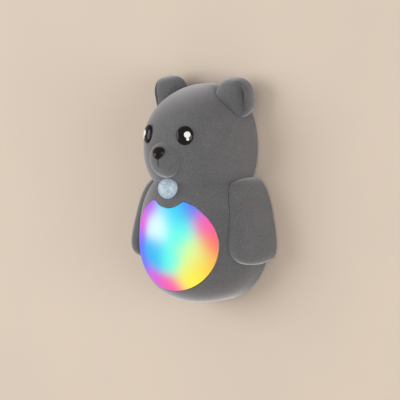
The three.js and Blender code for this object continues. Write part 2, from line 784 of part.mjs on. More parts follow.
function lens() {
  const steps = 4;
  const arc = (radius) => Array.from({ length: steps }, (_, i) => {
    const angle = (Math.PI / 2) * (i / steps);
    return [radius * Math.cos(angle), radius * Math.sin(angle)];
  });
  const inner = lensRadius - lensWall;
  const profile = [
    [inner, -lensSkirt], [lensFlangeRadius, -lensSkirt],
    [lensFlangeRadius, -lensSkirt + lensFlangeThickness], [lensRadius, -lensSkirt + lensFlangeThickness],
    ...arc(lensRadius), [0, lensRadius],
    [0, inner], ...arc(inner).reverse(), [inner, -lensSkirt],
  ];
  return solid(turned(profile, 16).rotateX(Math.PI).translate(0, -lensDepth, neckHeight));
}

const sensorBoardFront = sensorBoardDepth + sensorBoardThickness;
const sensorBoard = () => post(0, neckHeight, sensorBoardDepth, sensorBoardFront, lensFlangeRadius, 18);

function sensorCan() {
  const start = sensorBoardFront + clear;
  return post(0, neckHeight, start, start + canRim, canRadius + canRim, 14)
    .add(post(0, neckHeight, start, start + canLength - clear, canRadius, 14));
}

// Rear cover

// The cover follows the insides of both shells and passes through the neck opening.
function coverOutline() {
  const steps = 7;
  const inset = shellWall + clear;
  const right = [];
  const span = (from, to, widthAt) => {
    for (let i = 0; i <= steps; i += 1) {
      const height = from + (to - from) * Math.sin((Math.PI / 2) * (i / steps));
      right.push([widthAt(height), height]);
    }
  };
  const torsoTop = neckHeight - shellWall - clear;
  const headStart = headBottom + shellWall + clear;
  for (let i = 1; i <= steps; i += 1) {
    const height = torsoWidest - (torsoWidest - inset) * Math.cos((Math.PI / 2) * (i / steps));
    right.push([torsoSize(height, inset).halfWidth, height]);
  }
  span(torsoWidest, torsoTop, (height) => torsoSize(height, inset).halfWidth);
  const waist = neckHalfWidth - spigotWall - clear;
  right.push([waist, torsoTop], [waist, headStart]);
  for (let i = 0; i <= steps; i += 1) {
    const height = headStart + (headWidest - headStart) * (i / steps);
    right.push([headSize(height, inset).halfWidth, height]);
  }
  span(headWidest, headTop - inset, (height) => headSize(height, inset).halfWidth);
  const points = right.filter(([across], i) => across > 0 && (i === 0 || right[i - 1][1] <= right[i][1]));
  const left = points.map(([across, height]) => [-across, height]).reverse();
  return new THREE.Shape([...points, ...left].map(([across, height]) => new THREE.Vector2(across, height)));
}

function roundedPlate(halfWidth, halfHeight, corner, height) {
  const outline = new THREE.Shape();
  outline.moveTo(halfWidth, height - halfHeight + corner);
  outline.absarc(halfWidth - corner, height + halfHeight - corner, corner, 0, Math.PI / 2);
  outline.absarc(corner - halfWidth, height + halfHeight - corner, corner, Math.PI / 2, Math.PI);
  outline.absarc(corner - halfWidth, height - halfHeight + corner, corner, Math.PI, Math.PI * 1.5);
  outline.absarc(halfWidth - corner, height - halfHeight + corner, corner, Math.PI * 1.5, Math.PI * 2);
  return outline;
}

const plateOutline = (grown) => roundedPlate(plateHalfWidth + grown, plateHalfHeight + grown,
  plateCorner + grown, mountHeight);
const recessDepth = padThickness + plateThickness + clear;
const recessBack = recessDepth + recessFloor;
const magnetStart = recessBack + clear;
const magnetEnd = magnetStart + magnetThickness;

const boardScrewPlaces = [45, 135, 225, 315].map(THREE.MathUtils.degToRad).map((angle) =>
  [boardScrewRing * Math.cos(angle), bellyHeight + boardScrewRing * Math.sin(angle)]);
const coverScrewPlaces = [
  [lowerScrewAcross, lowerScrewHeight], [-lowerScrewAcross, lowerScrewHeight],
  [upperScrewAcross, upperScrewHeight], [-upperScrewAcross, upperScrewHeight],
];

function rearCover() {
  const base = plate(coverOutline(), rimDepth, coverInner);
  const pad = plate(plateOutline(clear + recessRim), rimDepth, recessBack);
  const pockets = bothSides((side) => post(side * magnetAcross, mountHeight, recessBack - clear,
    magnetEnd, magnetRadius + clear + pocketWall, 16));
  const boardPosts = boardScrewPlaces.map(([across, height]) =>
    post(across, height, rimDepth, boardDepth - clear, boardPostRadius, 10));
  const wellEnd = boardDepth - clear;
  const buttonWell = tactHalfWidth * Math.SQRT2 + clear;
  const wells = [
    post(buttonAcross, controlHeight, rimDepth, wellEnd, buttonWell + wellWall, 16),
    block(switchAcross, switchHalfWidth + clear + wellWall, rimDepth, wellEnd,
      controlHeight - switchHalfHeight - clear - wellWall,
      controlHeight + switchHalfHeight + clear + wellWall),
  ];
  return cut(joined([base, pad, ...pockets, ...boardPosts, ...wells]), [
    post(buttonAcross, controlHeight, coverInner, wellEnd + overrun, buttonWell, 16),
    block(switchAcross, switchHalfWidth + clear, coverInner, wellEnd + overrun,
      controlHeight - switchHalfHeight - clear, controlHeight + switchHalfHeight + clear),
    plate(plateOutline(clear), rimDepth - overrun, recessDepth),
    ...bothSides((side) => post(side * magnetAcross, mountHeight, recessBack,
      magnetEnd + overrun, magnetRadius + clear, 16)),
    ...boardScrewPlaces.map(([across, height]) => post(across, height, boardDepth - boardScrewLength,
      boardDepth + overrun, boardPostHole, 8)),
    ...coverScrewPlaces.map(([across, height]) => post(across, height, -overrun, farDepth, postHole, 8)),
    ...coverScrewPlaces.map(([across, height]) => post(across, height, -overrun,
      rimDepth + coverScrewSink, coverScrewHead + clear, 10)),
    post(buttonAcross, controlHeight, -overrun, farDepth, buttonRadius + clear, 14),
    block(switchAcross, knobHalfWidth + knobTravel + clear, -overrun, farDepth,
      controlHeight - knobHalfHeight - clear, controlHeight + knobHalfHeight + clear),
  ]);
}

// A screw whose head faces the wall side or the front; its shank runs the other way.
function screw(across, height, headDepth, direction, size) {
  const headEnd = headDepth + direction * size.headHeight;
  const head = rod(at(across, headDepth, height), at(across, headEnd, height),
    size.head * screwTaperShare, 10, size.head);
  const shank = rod(at(across, headEnd, height), at(across, headEnd + direction * size.length, height),
    size.radius, 8);
  return head.add(shank);
}

const coverScrewSize = {
  head: coverScrewHead, headHeight: coverScrewSink - clear / 2,
  radius: coverScrewRadius, length: coverScrewLength,
};
const boardScrewSize = {
  head: boardScrewHead, headHeight: boardScrewHeadHeight,
  radius: boardScrewRadius, length: boardScrewLength - clear,
};
const coverScrews = () => coverScrewPlaces.map(([across, height], i) => mesh(`cover_screw_${i + 1}`,
  screw(across, height, rimDepth, 1, coverScrewSize), steel));
const boardScrews = () => boardScrewPlaces.map(([across, height], i) => mesh(`board_screw_${i + 1}`,
  screw(across, height, boardFront + clear + boardScrewHeadHeight, -1, boardScrewSize), steel));

// Main board

const boardFront = boardDepth + boardThickness;

function mainBoard() {
  const disc = post(0, bellyHeight, boardDepth, boardFront, boardRadius, 28);
  const tab = block(0, boardTabHalfWidth, boardDepth, boardFront, boardTabBottom, bellyHeight);
  return cut(disc.add(tab), boardScrewPlaces.map(([across, height]) =>
    post(across, height, boardDepth - overrun, boardFront + overrun, boardScrewRadius + clear, 8)));
}

const ledPlaces = Array.from({ length: ledCount }, (_, i) => 2 * Math.PI * (i / ledCount)).map((angle) =>
  [ledRing * Math.cos(angle), bellyHeight + ledRing * Math.sin(angle)]);

const leds = () => ledPlaces.map(([across, height], i) => mesh(`colour_led_${i + 1}`,
  block(across, ledHalfWidth, boardFront, boardFront + ledHeight, height - ledHalfWidth,
    height + ledHalfWidth), whitePlastic));

function lightBox() {
  const start = boardFront + ledHeight + clear;
  const outer = bellyPrism(-boxInset, start);
  const inner = bellyPrism(-boxInset - boxWall, start + boxFloor);
  const feet = bothSides((side) => post(side * boxFootAcross, bellyHeight, boardFront + clear,
    start + boxFloor, boxFootRadius, 12));
  const windows = ledPlaces.map(([across, height]) => block(across, windowHalfWidth, start - overrun,
    start + overrun, height - windowHalfWidth, height + windowHalfWidth));
  const body = outer.intersect(torsoForm(backInset + clear, 0, neckHeight, false)).subtract(inner);
  return cut(joined([body, ...feet]), windows);
}

// Charging socket, switches and plugs

function stadium(halfWidth, thickness) {
  const outline = new THREE.Shape();
  const radius = thickness / 2;
  outline.moveTo(halfWidth - radius, -radius);
  outline.absarc(halfWidth - radius, 0, radius, -Math.PI / 2, Math.PI / 2);
  outline.absarc(radius - halfWidth, 0, radius, Math.PI / 2, Math.PI * 1.5);
  return outline;
}

function chargingSocket() {
  const shape = (halfWidth, thickness, length, from) => solid(new THREE.ExtrudeGeometry(
    stadium(halfWidth, thickness), { depth: length, bevelEnabled: false, curveSegments: 6 },
  ).translate(0, -(socketDepthFrom + socketDepthTo) / 2, from));
  const tube = shape(socketHalfWidth, socketThickness, socketLength, socketMouth);
  const bore = shape(socketHalfWidth - socketWall, socketThickness - 2 * socketWall,
    socketLength - socketWall + overrun, socketMouth - overrun);
  const tongue = block(0, socketHalfWidth - tongueInset, (socketDepthFrom + socketDepthTo) / 2 - socketWall,
    (socketDepthFrom + socketDepthTo) / 2 + socketWall, socketMouth + socketWall,
    socketMouth + socketLength);
  return tube.subtract(bore).add(tongue);
}

// The controls stand just above the board's lower screws.
const controlHeight = boardScrewPlaces.at(-1)[1] + boardPostRadius + clear + tactHalfWidth;
const switchBack = boardDepth - switchDepth;
const switchBody = () => cut(block(switchAcross, switchHalfWidth, switchBack, boardDepth,
  controlHeight - switchHalfHeight, controlHeight + switchHalfHeight), [
  block(switchAcross, knobHalfWidth + knobTravel + clear, switchBack - overrun, switchBack + knobRoot,
    controlHeight - knobHalfHeight - clear, controlHeight + knobHalfHeight + clear),
]);
const switchKnob = () => block(switchAcross, knobHalfWidth, rimDepth + knobRecess,
  switchBack + knobRoot - clear, controlHeight - knobHalfHeight, controlHeight + knobHalfHeight);

const tactStart = boardDepth - tactDepth;
const tactStemBack = tactStart - tactStemLength;
const buttonFlangeFront = tactStemBack - buttonTravel - clear;
const buttonFlangeBack = buttonFlangeFront - buttonFlangeThickness;
const tactSwitch = () => block(buttonAcross, tactHalfWidth, tactStart, boardDepth,
  controlHeight - tactHalfWidth, controlHeight + tactHalfWidth)
  .add(post(buttonAcross, controlHeight, tactStemBack, boardDepth, tactStemRadius, 14));
const modeButton = () => post(buttonAcross, controlHeight, rimDepth + knobRecess, buttonFlangeFront,
  buttonRadius, 14).add(post(buttonAcross, controlHeight, buttonFlangeBack, buttonFlangeFront,
  buttonFlange, 14));

// Battery and leads

const foamStart = coverInner;
const batteryStart = foamStart + foamThickness;

function battery() {
  return plate(roundedPlate(batteryHalfWidth, (batteryTop - batteryBottom) / 2, batteryCorner,
    (batteryBottom + batteryTop) / 2), batteryStart, batteryStart + batteryThickness);
}
const batteryFoam = () => block(0, batteryHalfWidth - batteryCorner, foamStart, batteryStart,
  batteryBottom + batteryCorner, batteryTop - batteryCorner);
const batteryPlug = () => block(0, plugHalfWidth, boardDepth - plugThickness, boardDepth,
  plugTop - plugHeight, plugTop);
const sensorPlug = () => block(0, sensorPlugHalfWidth, boardFront, boardFront + sensorPlugThickness,
  sensorPlugBottom, sensorPlugBottom + sensorPlugHeight);

// A round lead along a smooth way through the given places.
function lead(places, radius, steps) {
  const outline = new THREE.Shape().absarc(0, 0, radius, 0, Math.PI * 2);
  return solid(new THREE.ExtrudeGeometry(outline, {
    steps, curveSegments: 4, bevelEnabled: false, extrudePath: new THREE.CatmullRomCurve3(places),
  }));
}

function batteryLead(side) {
  const leave = batteryStart + batteryThickness / 2;
  const arrive = boardDepth - plugThickness / 2;
  const gap = batteryBottom - plugTop - 2 * clear;
  return lead(leadShares.map((share) => at(side * leadSpacing / 2,
    THREE.MathUtils.lerp(arrive, leave, THREE.MathUtils.smoothstep(share, 0, 1)),
    plugTop + clear + gap * share)), leadRadius, 10);
}

function sensorLead() {
  const start = at(0, sensorBoardDepth - clear, neckHeight - lensFlangeRadius + 2 * leadRadius);
  const end = at(0, boardFront + sensorPlugThickness + clear, sensorPlugBottom + sensorPlugHeight / 2);
  const bend = (end.y - start.y) / 3;
  return lead([start, start.clone().add(new THREE.Vector3(0, bend, 0)),
    end.clone().add(new THREE.Vector3(0, -bend, 0)), end], leadRadius, 14);
}

// Wall plate and pad

const wallPlate = () => plate(plateOutline(0), padThickness, padThickness + plateThickness);
const adhesivePad = () => plate(plateOutline(-padInset), 0, padThickness);
const magnet = () => post(magnetAcross, mountHeight, magnetStart, magnetEnd, magnetRadius, 16);

const bear = new THREE.Group();
bear.add(
  mesh('torso_shell', torsoShell(), greyFlock),
  mesh('head_shell', headShell(), greyFlock),
  ...pair('arm', arm(), greyFlock),
  ...pair('ear', ear(), greyFlock),
  mesh('muzzle', muzzle(), greyFlock),
  mesh('nose', nose(), glossBlack),
  ...pair('eye', eye(), glossBlack),
  ...pair('eye_clip', eyeClip(), steel),
  mesh('belly_diffuser', diffuser(), milky),
  mesh('light_box', lightBox(), whitePlastic),
  mesh('sensor_lens', lens(), lensWhite),
  mesh('sensor_can', sensorCan(), nickel),
  mesh('sensor_board', sensorBoard(), boardWhite),
  mesh('sensor_lead', sensorLead(), blackWire),
  mesh('sensor_plug', sensorPlug(), whitePlastic),
  mesh('main_board', mainBoard(), boardWhite),
  ...leds(),
  ...boardScrews(),
  mesh('charging_socket', chargingSocket(), nickel),
  mesh('switch_body', switchBody(), nickel),
  mesh('switch_knob', switchKnob(), blackPlastic),
  mesh('tact_switch', tactSwitch(), blackPlastic),
  mesh('mode_button', modeButton(), greyPlastic),
  mesh('battery_cell', battery(), foil),
  mesh('battery_foam', batteryFoam(), foam),
  mesh('battery_lead_red', batteryLead(1), redWire),
  mesh('battery_lead_black', batteryLead(-1), blackWire),
  mesh('battery_plug', batteryPlug(), whitePlastic),
  mesh('rear_cover', rearCover(), greyPlastic),
  ...coverScrews(),
  ...pair('magnet', magnet(), nickel),
);

const wallMount = new THREE.Group();
wallMount.add(
  mesh('wall_plate', wallPlate(), steel),
  mesh('adhesive_pad', adhesivePad(), foam),
);

const nightLight = new THREE.Group();
nightLight.add(bear, wallMount);
nightLight.position.z = -mountHeight;

export default nightLight;
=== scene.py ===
"""A bear night light on a pale wall: flocked grey body, lit belly, sensor dome, and controls at the back."""

import json
from math import asin, copysign, cos, exp, hypot, inf, pi, radians, sin, sqrt

import bmesh
import bpy
from mathutils import Euler, Matrix, Vector


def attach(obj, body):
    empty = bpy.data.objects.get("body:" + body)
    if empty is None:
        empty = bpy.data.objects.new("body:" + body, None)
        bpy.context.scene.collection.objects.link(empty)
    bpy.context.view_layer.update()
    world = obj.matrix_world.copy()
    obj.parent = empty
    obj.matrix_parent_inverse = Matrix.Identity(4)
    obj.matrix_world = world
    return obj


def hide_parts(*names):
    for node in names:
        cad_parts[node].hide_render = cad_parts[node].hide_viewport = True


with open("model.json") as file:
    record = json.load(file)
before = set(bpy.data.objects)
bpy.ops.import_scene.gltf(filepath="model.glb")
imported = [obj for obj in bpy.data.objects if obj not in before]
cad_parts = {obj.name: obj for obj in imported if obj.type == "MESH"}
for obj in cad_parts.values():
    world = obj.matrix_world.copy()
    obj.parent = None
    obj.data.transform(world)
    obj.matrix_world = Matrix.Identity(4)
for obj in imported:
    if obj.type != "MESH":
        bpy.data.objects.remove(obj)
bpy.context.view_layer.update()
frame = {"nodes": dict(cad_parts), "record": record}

# Sizes are in millimetres: across (+X), depth (out from the wall) and height (above the bear's lowest point).
MM = 0.001
MOUNT_HEIGHT = 56  # height of the frame's origin, the middle of the pad on the wall
RIM_DEPTH = 1  # where the skins of torso, head and arms end, just off the wall
SIDE_DEPTH = 7.5  # where the straight sides end and the round front begins
SHELL_WALL = 2
CLEAR = 0.3  # room between a shell and the arm or ear that sits against it
NECK = 58.8  # the seam between torso and head
NECK_GAP = 0.03
NECK_HOLE = (18, 16.5)  # half width and reach of the hole through both shells
HEAD_BOTTOM = NECK + NECK_GAP
HEAD_SINK = 0.05  # how far the head's skin comes down, past its gap, so that the seam shows no light
SHOULDER_SOFT = 1.0  # how softly the shoulder runs into the head, just above the neck
SENSOR_HOLE = {"radius": 5.25, "nearest": 20, "furthest": 50, "sides": 96}

# Lengths and angles that every mesh is cleaned with; the first two are in metres.
MERGE = 0.00001
SLIVER = 0.000004
SHARP = radians(40)

# A round form: its size at its widest, how far it closes above and below that, and the powers of its curves, where
# 2 is an ellipse and more is fuller.
TORSO = {
    "half_width": 34.5, "widest": 32.5, "side_close": 36, "front_close": 48, "drop": 32.5, "reach": 32,
    "below": 2.15, "above": 2.3, "front_below": 2.85, "front_above": 3, "front_end": 3, "section": 2,
}
HEAD = {
    "half_width": 27.6, "widest": 78.6, "side_close": 31.2, "front_close": 31.2, "drop": 29.4, "reach": 35.2,
    "below": 2.3, "above": 2.2, "front_below": 2.1, "front_above": 2.5, "front_end": 1.4, "section": 2.1,
}


def at(across, depth, height):
    """A point of the object, in metres."""
    return Vector((across, -depth, height - MOUNT_HEIGHT)) * MM


def fullness(share, power, end_power=None):
    """How full a round form still is at a share of the way to its end."""
    return max(0.0, 1 - abs(share) ** power) ** (1 / (end_power or power))


def bent(share, power):
    """A share from -1 to 1 raised to a power, with its sign kept."""
    return copysign(abs(share) ** power, share)


def form_size(form, height, grown=0.0):
    """Half width of the head or torso at a height, and its reach in front of the straight sides."""
    rise = height - form["widest"]
    if rise > 0:
        side = fullness(rise / (form["side_close"] + grown), form["above"])
        front = fullness(rise / (form["front_close"] + grown), form["front_above"], form["front_end"])
    else:
        side = fullness(rise / (form["drop"] + grown), form["below"])
        front = fullness(rise / (form["drop"] + grown), form["front_below"])
    return (form["half_width"] + grown) * side, (form["reach"] + grown) * front


def front_depth(form, across, height, grown=0.0):
    """Depth of the head's or torso's front at a point across and up."""
    half_width, reach = form_size(form, height, grown)
    return SIDE_DEPTH + reach * fullness(across / half_width, form["section"])


FRONT_SPAN = 0.8  # share of a section's way from the front to the wall that its round part takes


def on_section(form, turn, half_width, reach, back):
    """Across and depth at a turn from -1 (wall edge) over 0 (front) to 1 (the other wall edge)."""
    side = -1 if turn < 0 else 1
    if abs(turn) <= FRONT_SPAN:
        angle = abs(turn) / FRONT_SPAN * pi / 2
        across = side * half_width * sin(angle) ** (2 / form["section"])
        return across, SIDE_DEPTH + reach * cos(angle) ** (2 / form["section"])
    return side * half_width, SIDE_DEPTH + (back - SIDE_DEPTH) * (abs(turn) - FRONT_SPAN) / (1 - FRONT_SPAN)


def turn_of(form, across, height):
    """The turn at which a section is that far across."""
    share = min(1.0, abs(across) / form_size(form, height)[0])
    turn = FRONT_SPAN * asin(share ** (form["section"] / 2)) / (pi / 2)
    return -turn if across < 0 else turn


def rolled_in(to_edge, radius, drop):
    """How much a rim is drawn in by its soft round, at a distance from its edge."""
    return drop * radius * (max(0.0, radius - to_edge) / radius) ** 2


def head_section(turn, height):
    """A point of the head's outside, which the torso's shoulder runs into from below."""
    head = Vector(on_section(HEAD, turn, *form_size(HEAD, height), RIM_DEPTH))
    shoulder = Vector(on_section(TORSO, turn, *form_size(TORSO, height), RIM_DEPTH))
    axis = Vector((0, SIDE_DEPTH))
    further = (head - axis).length - (shoulder - axis).length
    return shoulder.lerp(head, min(1.0, max(0.0, 0.5 + further / (2 * SHOULDER_SOFT))))


# Making pieces

def finished(name, mesh, body="bear", replaces=(), slot=None):
    """A piece of the object, on its body and in the place of the solids that it replaces."""
    piece = bpy.data.objects.new(name, mesh)
    bpy.context.scene.collection.objects.link(piece)
    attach(piece, body)
    if replaces:
        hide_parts(*replaces)
    return piece


def clean(shape, name):
    """The shape as a mesh with its doubles merged, its faces outwards and only real edges sharp."""
    bmesh.ops.remove_doubles(shape, verts=shape.verts, dist=MERGE)
    bmesh.ops.dissolve_degenerate(shape, dist=SLIVER, edges=shape.edges)
    bmesh.ops.recalc_face_normals(shape, faces=shape.faces)
    middle = sum((v.co for v in shape.verts), Vector()) / len(shape.verts)
    if sum(f.normal.dot(f.calc_center_median() - middle) * f.calc_area() for f in shape.faces) < 0:
        bmesh.ops.reverse_faces(shape, faces=shape.faces)
    mesh = bpy.data.meshes.new(name)
    shape.to_mesh(mesh)
    shape.free()
    mesh.shade_smooth()
    mesh.set_sharp_from_angle(angle=SHARP)
    return mesh


def formed(columns, rows, place):
    """A grid whose points are put in place by their shares of its width and height."""
    shape = bmesh.new()
    bmesh.ops.create_grid(shape, x_segments=columns, y_segments=rows, size=0.5)
    for vert in shape.verts:
        vert.co = place(vert.co.x + 0.5, vert.co.y + 0.5)
    return shape


def closed(shape):
    """The shape with its seam merged and its open ends filled."""
    bmesh.ops.remove_doubles(shape, verts=shape.verts, dist=MERGE)
    bmesh.ops.holes_fill(shape, edges=[e for e in shape.edges if e.is_boundary])
    return shape


def with_modifiers(mesh, name, steps):
    """The mesh after a list of modifiers, each given by its type and settings."""
    carrier = bpy.data.objects.new(name, mesh)
    bpy.context.scene.collection.objects.link(carrier)
    for kind, settings in steps:
        modifier = carrier.modifiers.new(kind, kind)
        for key, value in settings.items():
            setattr(modifier, key, value)
    graph = bpy.context.evaluated_depsgraph_get()
    made = bpy.data.meshes.new_from_object(carrier.evaluated_get(graph))
    made.name = name
    bpy.data.objects.remove(carrier)
    return made


def thickened(mesh, name, thickness, *more):
    """A skin given its thickness inwards, and any further modifiers."""
    return with_modifiers(mesh, name, [("SOLIDIFY", {"thickness": thickness * MM, "offset": -1.0}), *more])


def cut_by(mesh, name, tools):
    """The mesh less each tool, which is used up."""
    carriers = []
    for tool in tools:
        carrier = bpy.data.objects.new("tool", tool)
        bpy.context.scene.collection.objects.link(carrier)
        carriers.append(carrier)
    made = with_modifiers(mesh, name, [
        ("BOOLEAN", {"operation": "DIFFERENCE", "solver": "MANIFOLD", "object": carrier}) for carrier in carriers
    ])
    for carrier in carriers:
        bpy.data.objects.remove(carrier)
    made.shade_smooth()
    made.set_sharp_from_angle(angle=SHARP)
    return made


def mirrored(mesh, name):
    """The left piece for a right one."""
    shape = bmesh.new()
    shape.from_mesh(mesh)
    bmesh.ops.scale(shape, vec=(-1, 1, 1), verts=shape.verts)
    bmesh.ops.reverse_faces(shape, faces=shape.faces)
    turned = bpy.data.meshes.new(name)
    shape.to_mesh(turned)
    shape.free()
    return turned


# Torso and belly

BELLY = {
    "middle": 31, "half_width": 25.2, "half_height": 23.5, "notch": 9.8, "notch_across": 11.4, "softening": 2,
}
AROUND = 288  # points on the belly's edge
OUTLINE_STEPS = 40  # points on the notch, and on its softened corner; the rest of the edge has six times as many
CORNER_EXACT = 1e-6  # how closely the notch's corner is found, in radians


def belly_outline(grown, count):
    """Points of the belly's edge: an ellipse with a round notch in its top, from the notch round to the right."""
    width, height = BELLY["half_width"] + grown, BELLY["half_height"] + grown
    notch, notch_across = BELLY["notch"] - grown, BELLY["notch_across"] - grown

    def on_ellipse(angle):
        return Vector((width * sin(angle), BELLY["middle"] + height * cos(angle)))

    def on_notch(angle):
        return Vector((notch_across * sin(angle), NECK - notch * cos(angle)))

    inside, outside = 0.0, pi / 2
    while outside - inside > CORNER_EXACT:
        middle = (inside + outside) / 2
        point = on_ellipse(middle)
        if hypot(point.x / notch_across, (point.y - NECK) / notch) < 1:
            inside = middle
        else:
            outside = middle
    corner = on_ellipse(inside)
    start = inside + BELLY["softening"] / width
    notch_angle = asin(corner.x / notch_across) - BELLY["softening"] / notch_across
    right = [on_notch(notch_angle * i / OUTLINE_STEPS) for i in range(OUTLINE_STEPS)]
    first, last = on_notch(notch_angle), on_ellipse(start)
    for i in range(OUTLINE_STEPS):
        share = i / OUTLINE_STEPS
        right.append(first * (1 - share) ** 2 + corner * (2 * share * (1 - share)) + last * share**2)
    rest = 6 * OUTLINE_STEPS
    right += [on_ellipse(start + (pi - start) * i / rest) for i in range(rest + 1)]
    lengths = [0.0]
    for a, b in zip(right, right[1:]):
        lengths.append(lengths[-1] + (b - a).length)
    points, place = [], 0
    half = count // 2
    for i in range(half + 1):
        wanted = lengths[-1] * i / half
        while place < len(right) - 2 and lengths[place + 1] < wanted:
            place += 1
        share = (wanted - lengths[place]) / (lengths[place + 1] - lengths[place])
        points.append(right[place].lerp(right[place + 1], share))
    return points + [Vector((-p.x, p.y)) for p in reversed(points[1:-1])]


def torso_height(level):
    """Height at a level from -1 (bottom) over 0 (widest) to 1 (neck), with rows closer together at both ends."""
    if level < 0:
        return TORSO["widest"] * (1 + sin(level * pi / 2))
    return TORSO["widest"] + (NECK - TORSO["widest"]) * sin(level * pi / 2)


def torso_level(height):
    """The level of a height."""
    if height < TORSO["widest"]:
        return asin(height / TORSO["widest"] - 1) / (pi / 2)
    return asin((height - TORSO["widest"]) / (NECK - TORSO["widest"])) / (pi / 2)


OPENING = {"gap": 0.12, "rim_radius": 0.3, "rim_drop": 0.6}
# Rows of the torso's skin, from its opening outwards and closer together there. Past the end, where they are at the
# neck, they fold in to its hole.
TORSO_ROWS = {"count": 60, "end": 0.95, "crowding": 1.6, "fold": 0.96, "neck_level": 0.999}


def torso_skin():
    """The torso's shell, from the belly's opening out to its back rim and the hole at the neck."""
    edge = belly_outline(OPENING["gap"], AROUND)
    middle = Vector((0, torso_level(BELLY["middle"])))
    starts = [Vector((turn_of(TORSO, p.x, p.y), torso_level(p.y))) for p in edge]
    ends = []
    for start in starts:
        way = start - middle
        reach = min(
            (1 - middle.x) / abs(way.x) if way.x else inf,
            ((1 - middle.y) if way.y > 0 else (1 + middle.y)) / abs(way.y) if way.y else inf,
        )
        ends.append(middle + way * reach)

    def place(share_round, share_out):
        i = round(share_round * AROUND) % AROUND
        domain = starts[i].lerp(ends[i], min(1.0, share_out / TORSO_ROWS["end"]) ** TORSO_ROWS["crowding"])
        height = torso_height(max(-1.0, min(1.0, domain.y)))
        if share_out > TORSO_ROWS["fold"] and domain.y > TORSO_ROWS["neck_level"]:
            return at(*on_section(TORSO, domain.x, *NECK_HOLE, RIM_DEPTH), NECK)
        across, depth = on_section(TORSO, domain.x, *form_size(TORSO, height), RIM_DEPTH)
        to_edge = hypot(across - edge[i].x, height - edge[i].y)
        return at(across, depth - rolled_in(to_edge, OPENING["rim_radius"], OPENING["rim_drop"]), height)

    name = "torso_skin"
    skin = clean(formed(AROUND, TORSO_ROWS["count"], place), name)
    return cut_by(thickened(skin, name, SHELL_WALL), name, [sensor_hole(), socket_slot()])


def sensor_hole():
    """The bar that cuts the sensor's hole at the neck."""
    start, end = at(0, SENSOR_HOLE["nearest"], NECK), at(0, SENSOR_HOLE["furthest"], NECK)
    along = end - start
    radius = SENSOR_HOLE["radius"] * MM
    shape = bmesh.new()
    bmesh.ops.create_cone(
        shape, cap_ends=True, segments=SENSOR_HOLE["sides"], radius1=radius, radius2=radius, depth=along.length,
        matrix=Matrix.Translation((start + end) / 2) @ along.to_track_quat("Z", "Y").to_matrix().to_4x4(),
    )
    return clean(shape, "sensor hole")


SLOT = {"size": (9.6, 3.8, 7.7), "depth": 8.1, "height": 0.85, "corner": 1.89}


def socket_slot():
    """The block that cuts the charging socket's slot in the torso's bottom."""
    shape = bmesh.new()
    bmesh.ops.create_cube(shape, size=1)
    bmesh.ops.scale(shape, vec=Vector(SLOT["size"]) * MM, verts=shape.verts)
    bmesh.ops.translate(shape, vec=at(0, SLOT["depth"], SLOT["height"]), verts=shape.verts)
    upright = [e for e in shape.edges if abs(e.verts[0].co.z - e.verts[1].co.z) > MM]
    bmesh.ops.bevel(
        shape, geom=upright, offset=SLOT["corner"] * MM, segments=8, profile=0.5, affect="EDGES", material=-1)
    return clean(shape, "slot tool")


PANEL = {"proud": 0.3, "thickness": 1.6, "soft_edge": 0.35, "edge_angle": radians(60), "rows": 36}


def belly_panel():
    """The milky panel, curved with the torso and a little proud of it."""
    edge = belly_outline(0, AROUND)
    middle = Vector((0, BELLY["middle"]))

    def place(share_round, share_out):
        i = round(share_round * AROUND) % AROUND
        point = middle.lerp(edge[i], sin(share_out * pi / 2))
        return at(point.x, front_depth(TORSO, point.x, point.y, PANEL["proud"]), point.y)

    name = "belly_panel"
    return thickened(clean(formed(AROUND, PANEL["rows"], place), name), name, PANEL["thickness"], ("BEVEL", {
        "width": PANEL["soft_edge"] * MM, "segments": 3, "limit_method": "ANGLE", "angle_limit": PANEL["edge_angle"],
    }))


# Head

HEAD_ROWS = {"across": 160, "up": 120, "to_widest": 0.4}


def head_skin():
    """The head's shell; its first row runs in to the hole at the neck."""
    bottom = HEAD_BOTTOM - HEAD_SINK
    first, widest = 1 / HEAD_ROWS["up"], HEAD_ROWS["to_widest"]

    def place(share_across, share_up):
        turn = 2 * share_across - 1
        if share_up < first / 2:
            return at(*on_section(HEAD, turn, *NECK_HOLE, RIM_DEPTH), bottom)
        if share_up < widest:
            height = bottom + (HEAD["widest"] - bottom) * (share_up - first) / (widest - first)
        else:
            height = HEAD["widest"] + HEAD["side_close"] * sin((share_up - widest) / (1 - widest) * pi / 2)
        return at(*head_section(turn, height), height)

    name = "head_skin"
    skin = clean(formed(HEAD_ROWS["across"], HEAD_ROWS["up"], place), name)
    return cut_by(thickened(skin, name, SHELL_WALL), name, [sensor_hole()])


# A cutting body reaches past the wall and the neck. Of the way round it, each half gives these shares to its round
# part and to the flat back.
CUTTER = {"back": -3, "past_neck": 3, "round_part": 0.4, "flat_part": 0.1}


def form_solid(form, name, bottom, top, grown):
    """The head's or torso's whole body, to cut pieces that sit against it."""
    low = max(bottom, form["widest"] - form["drop"] - grown)
    high = top or form["widest"] + form["side_close"] + grown

    def place(share_round, share_up):
        if share_up < 0.5:
            height = form["widest"] - (form["widest"] - low) * cos(share_up * pi)
        else:
            height = form["widest"] - (high - form["widest"]) * cos(share_up * pi)
        half_width, reach = form_size(form, height, grown)
        turn = (share_round - 0.5) / CUTTER["round_part"]
        if abs(turn) > 1:
            return at(half_width * (share_round - (turn > 0)) / -CUTTER["flat_part"], CUTTER["back"], height)
        return at(*on_section(form, turn, half_width, reach, CUTTER["back"]), height)

    return clean(closed(formed(100, 64, place)), name)


def torso_solid():
    return form_solid(TORSO, "torso solid", 0, NECK + CUTTER["past_neck"], CLEAR)


def head_solid(grown=CLEAR):
    return form_solid(HEAD, "head solid", HEAD_BOTTOM, None, grown)


# Arms and ears

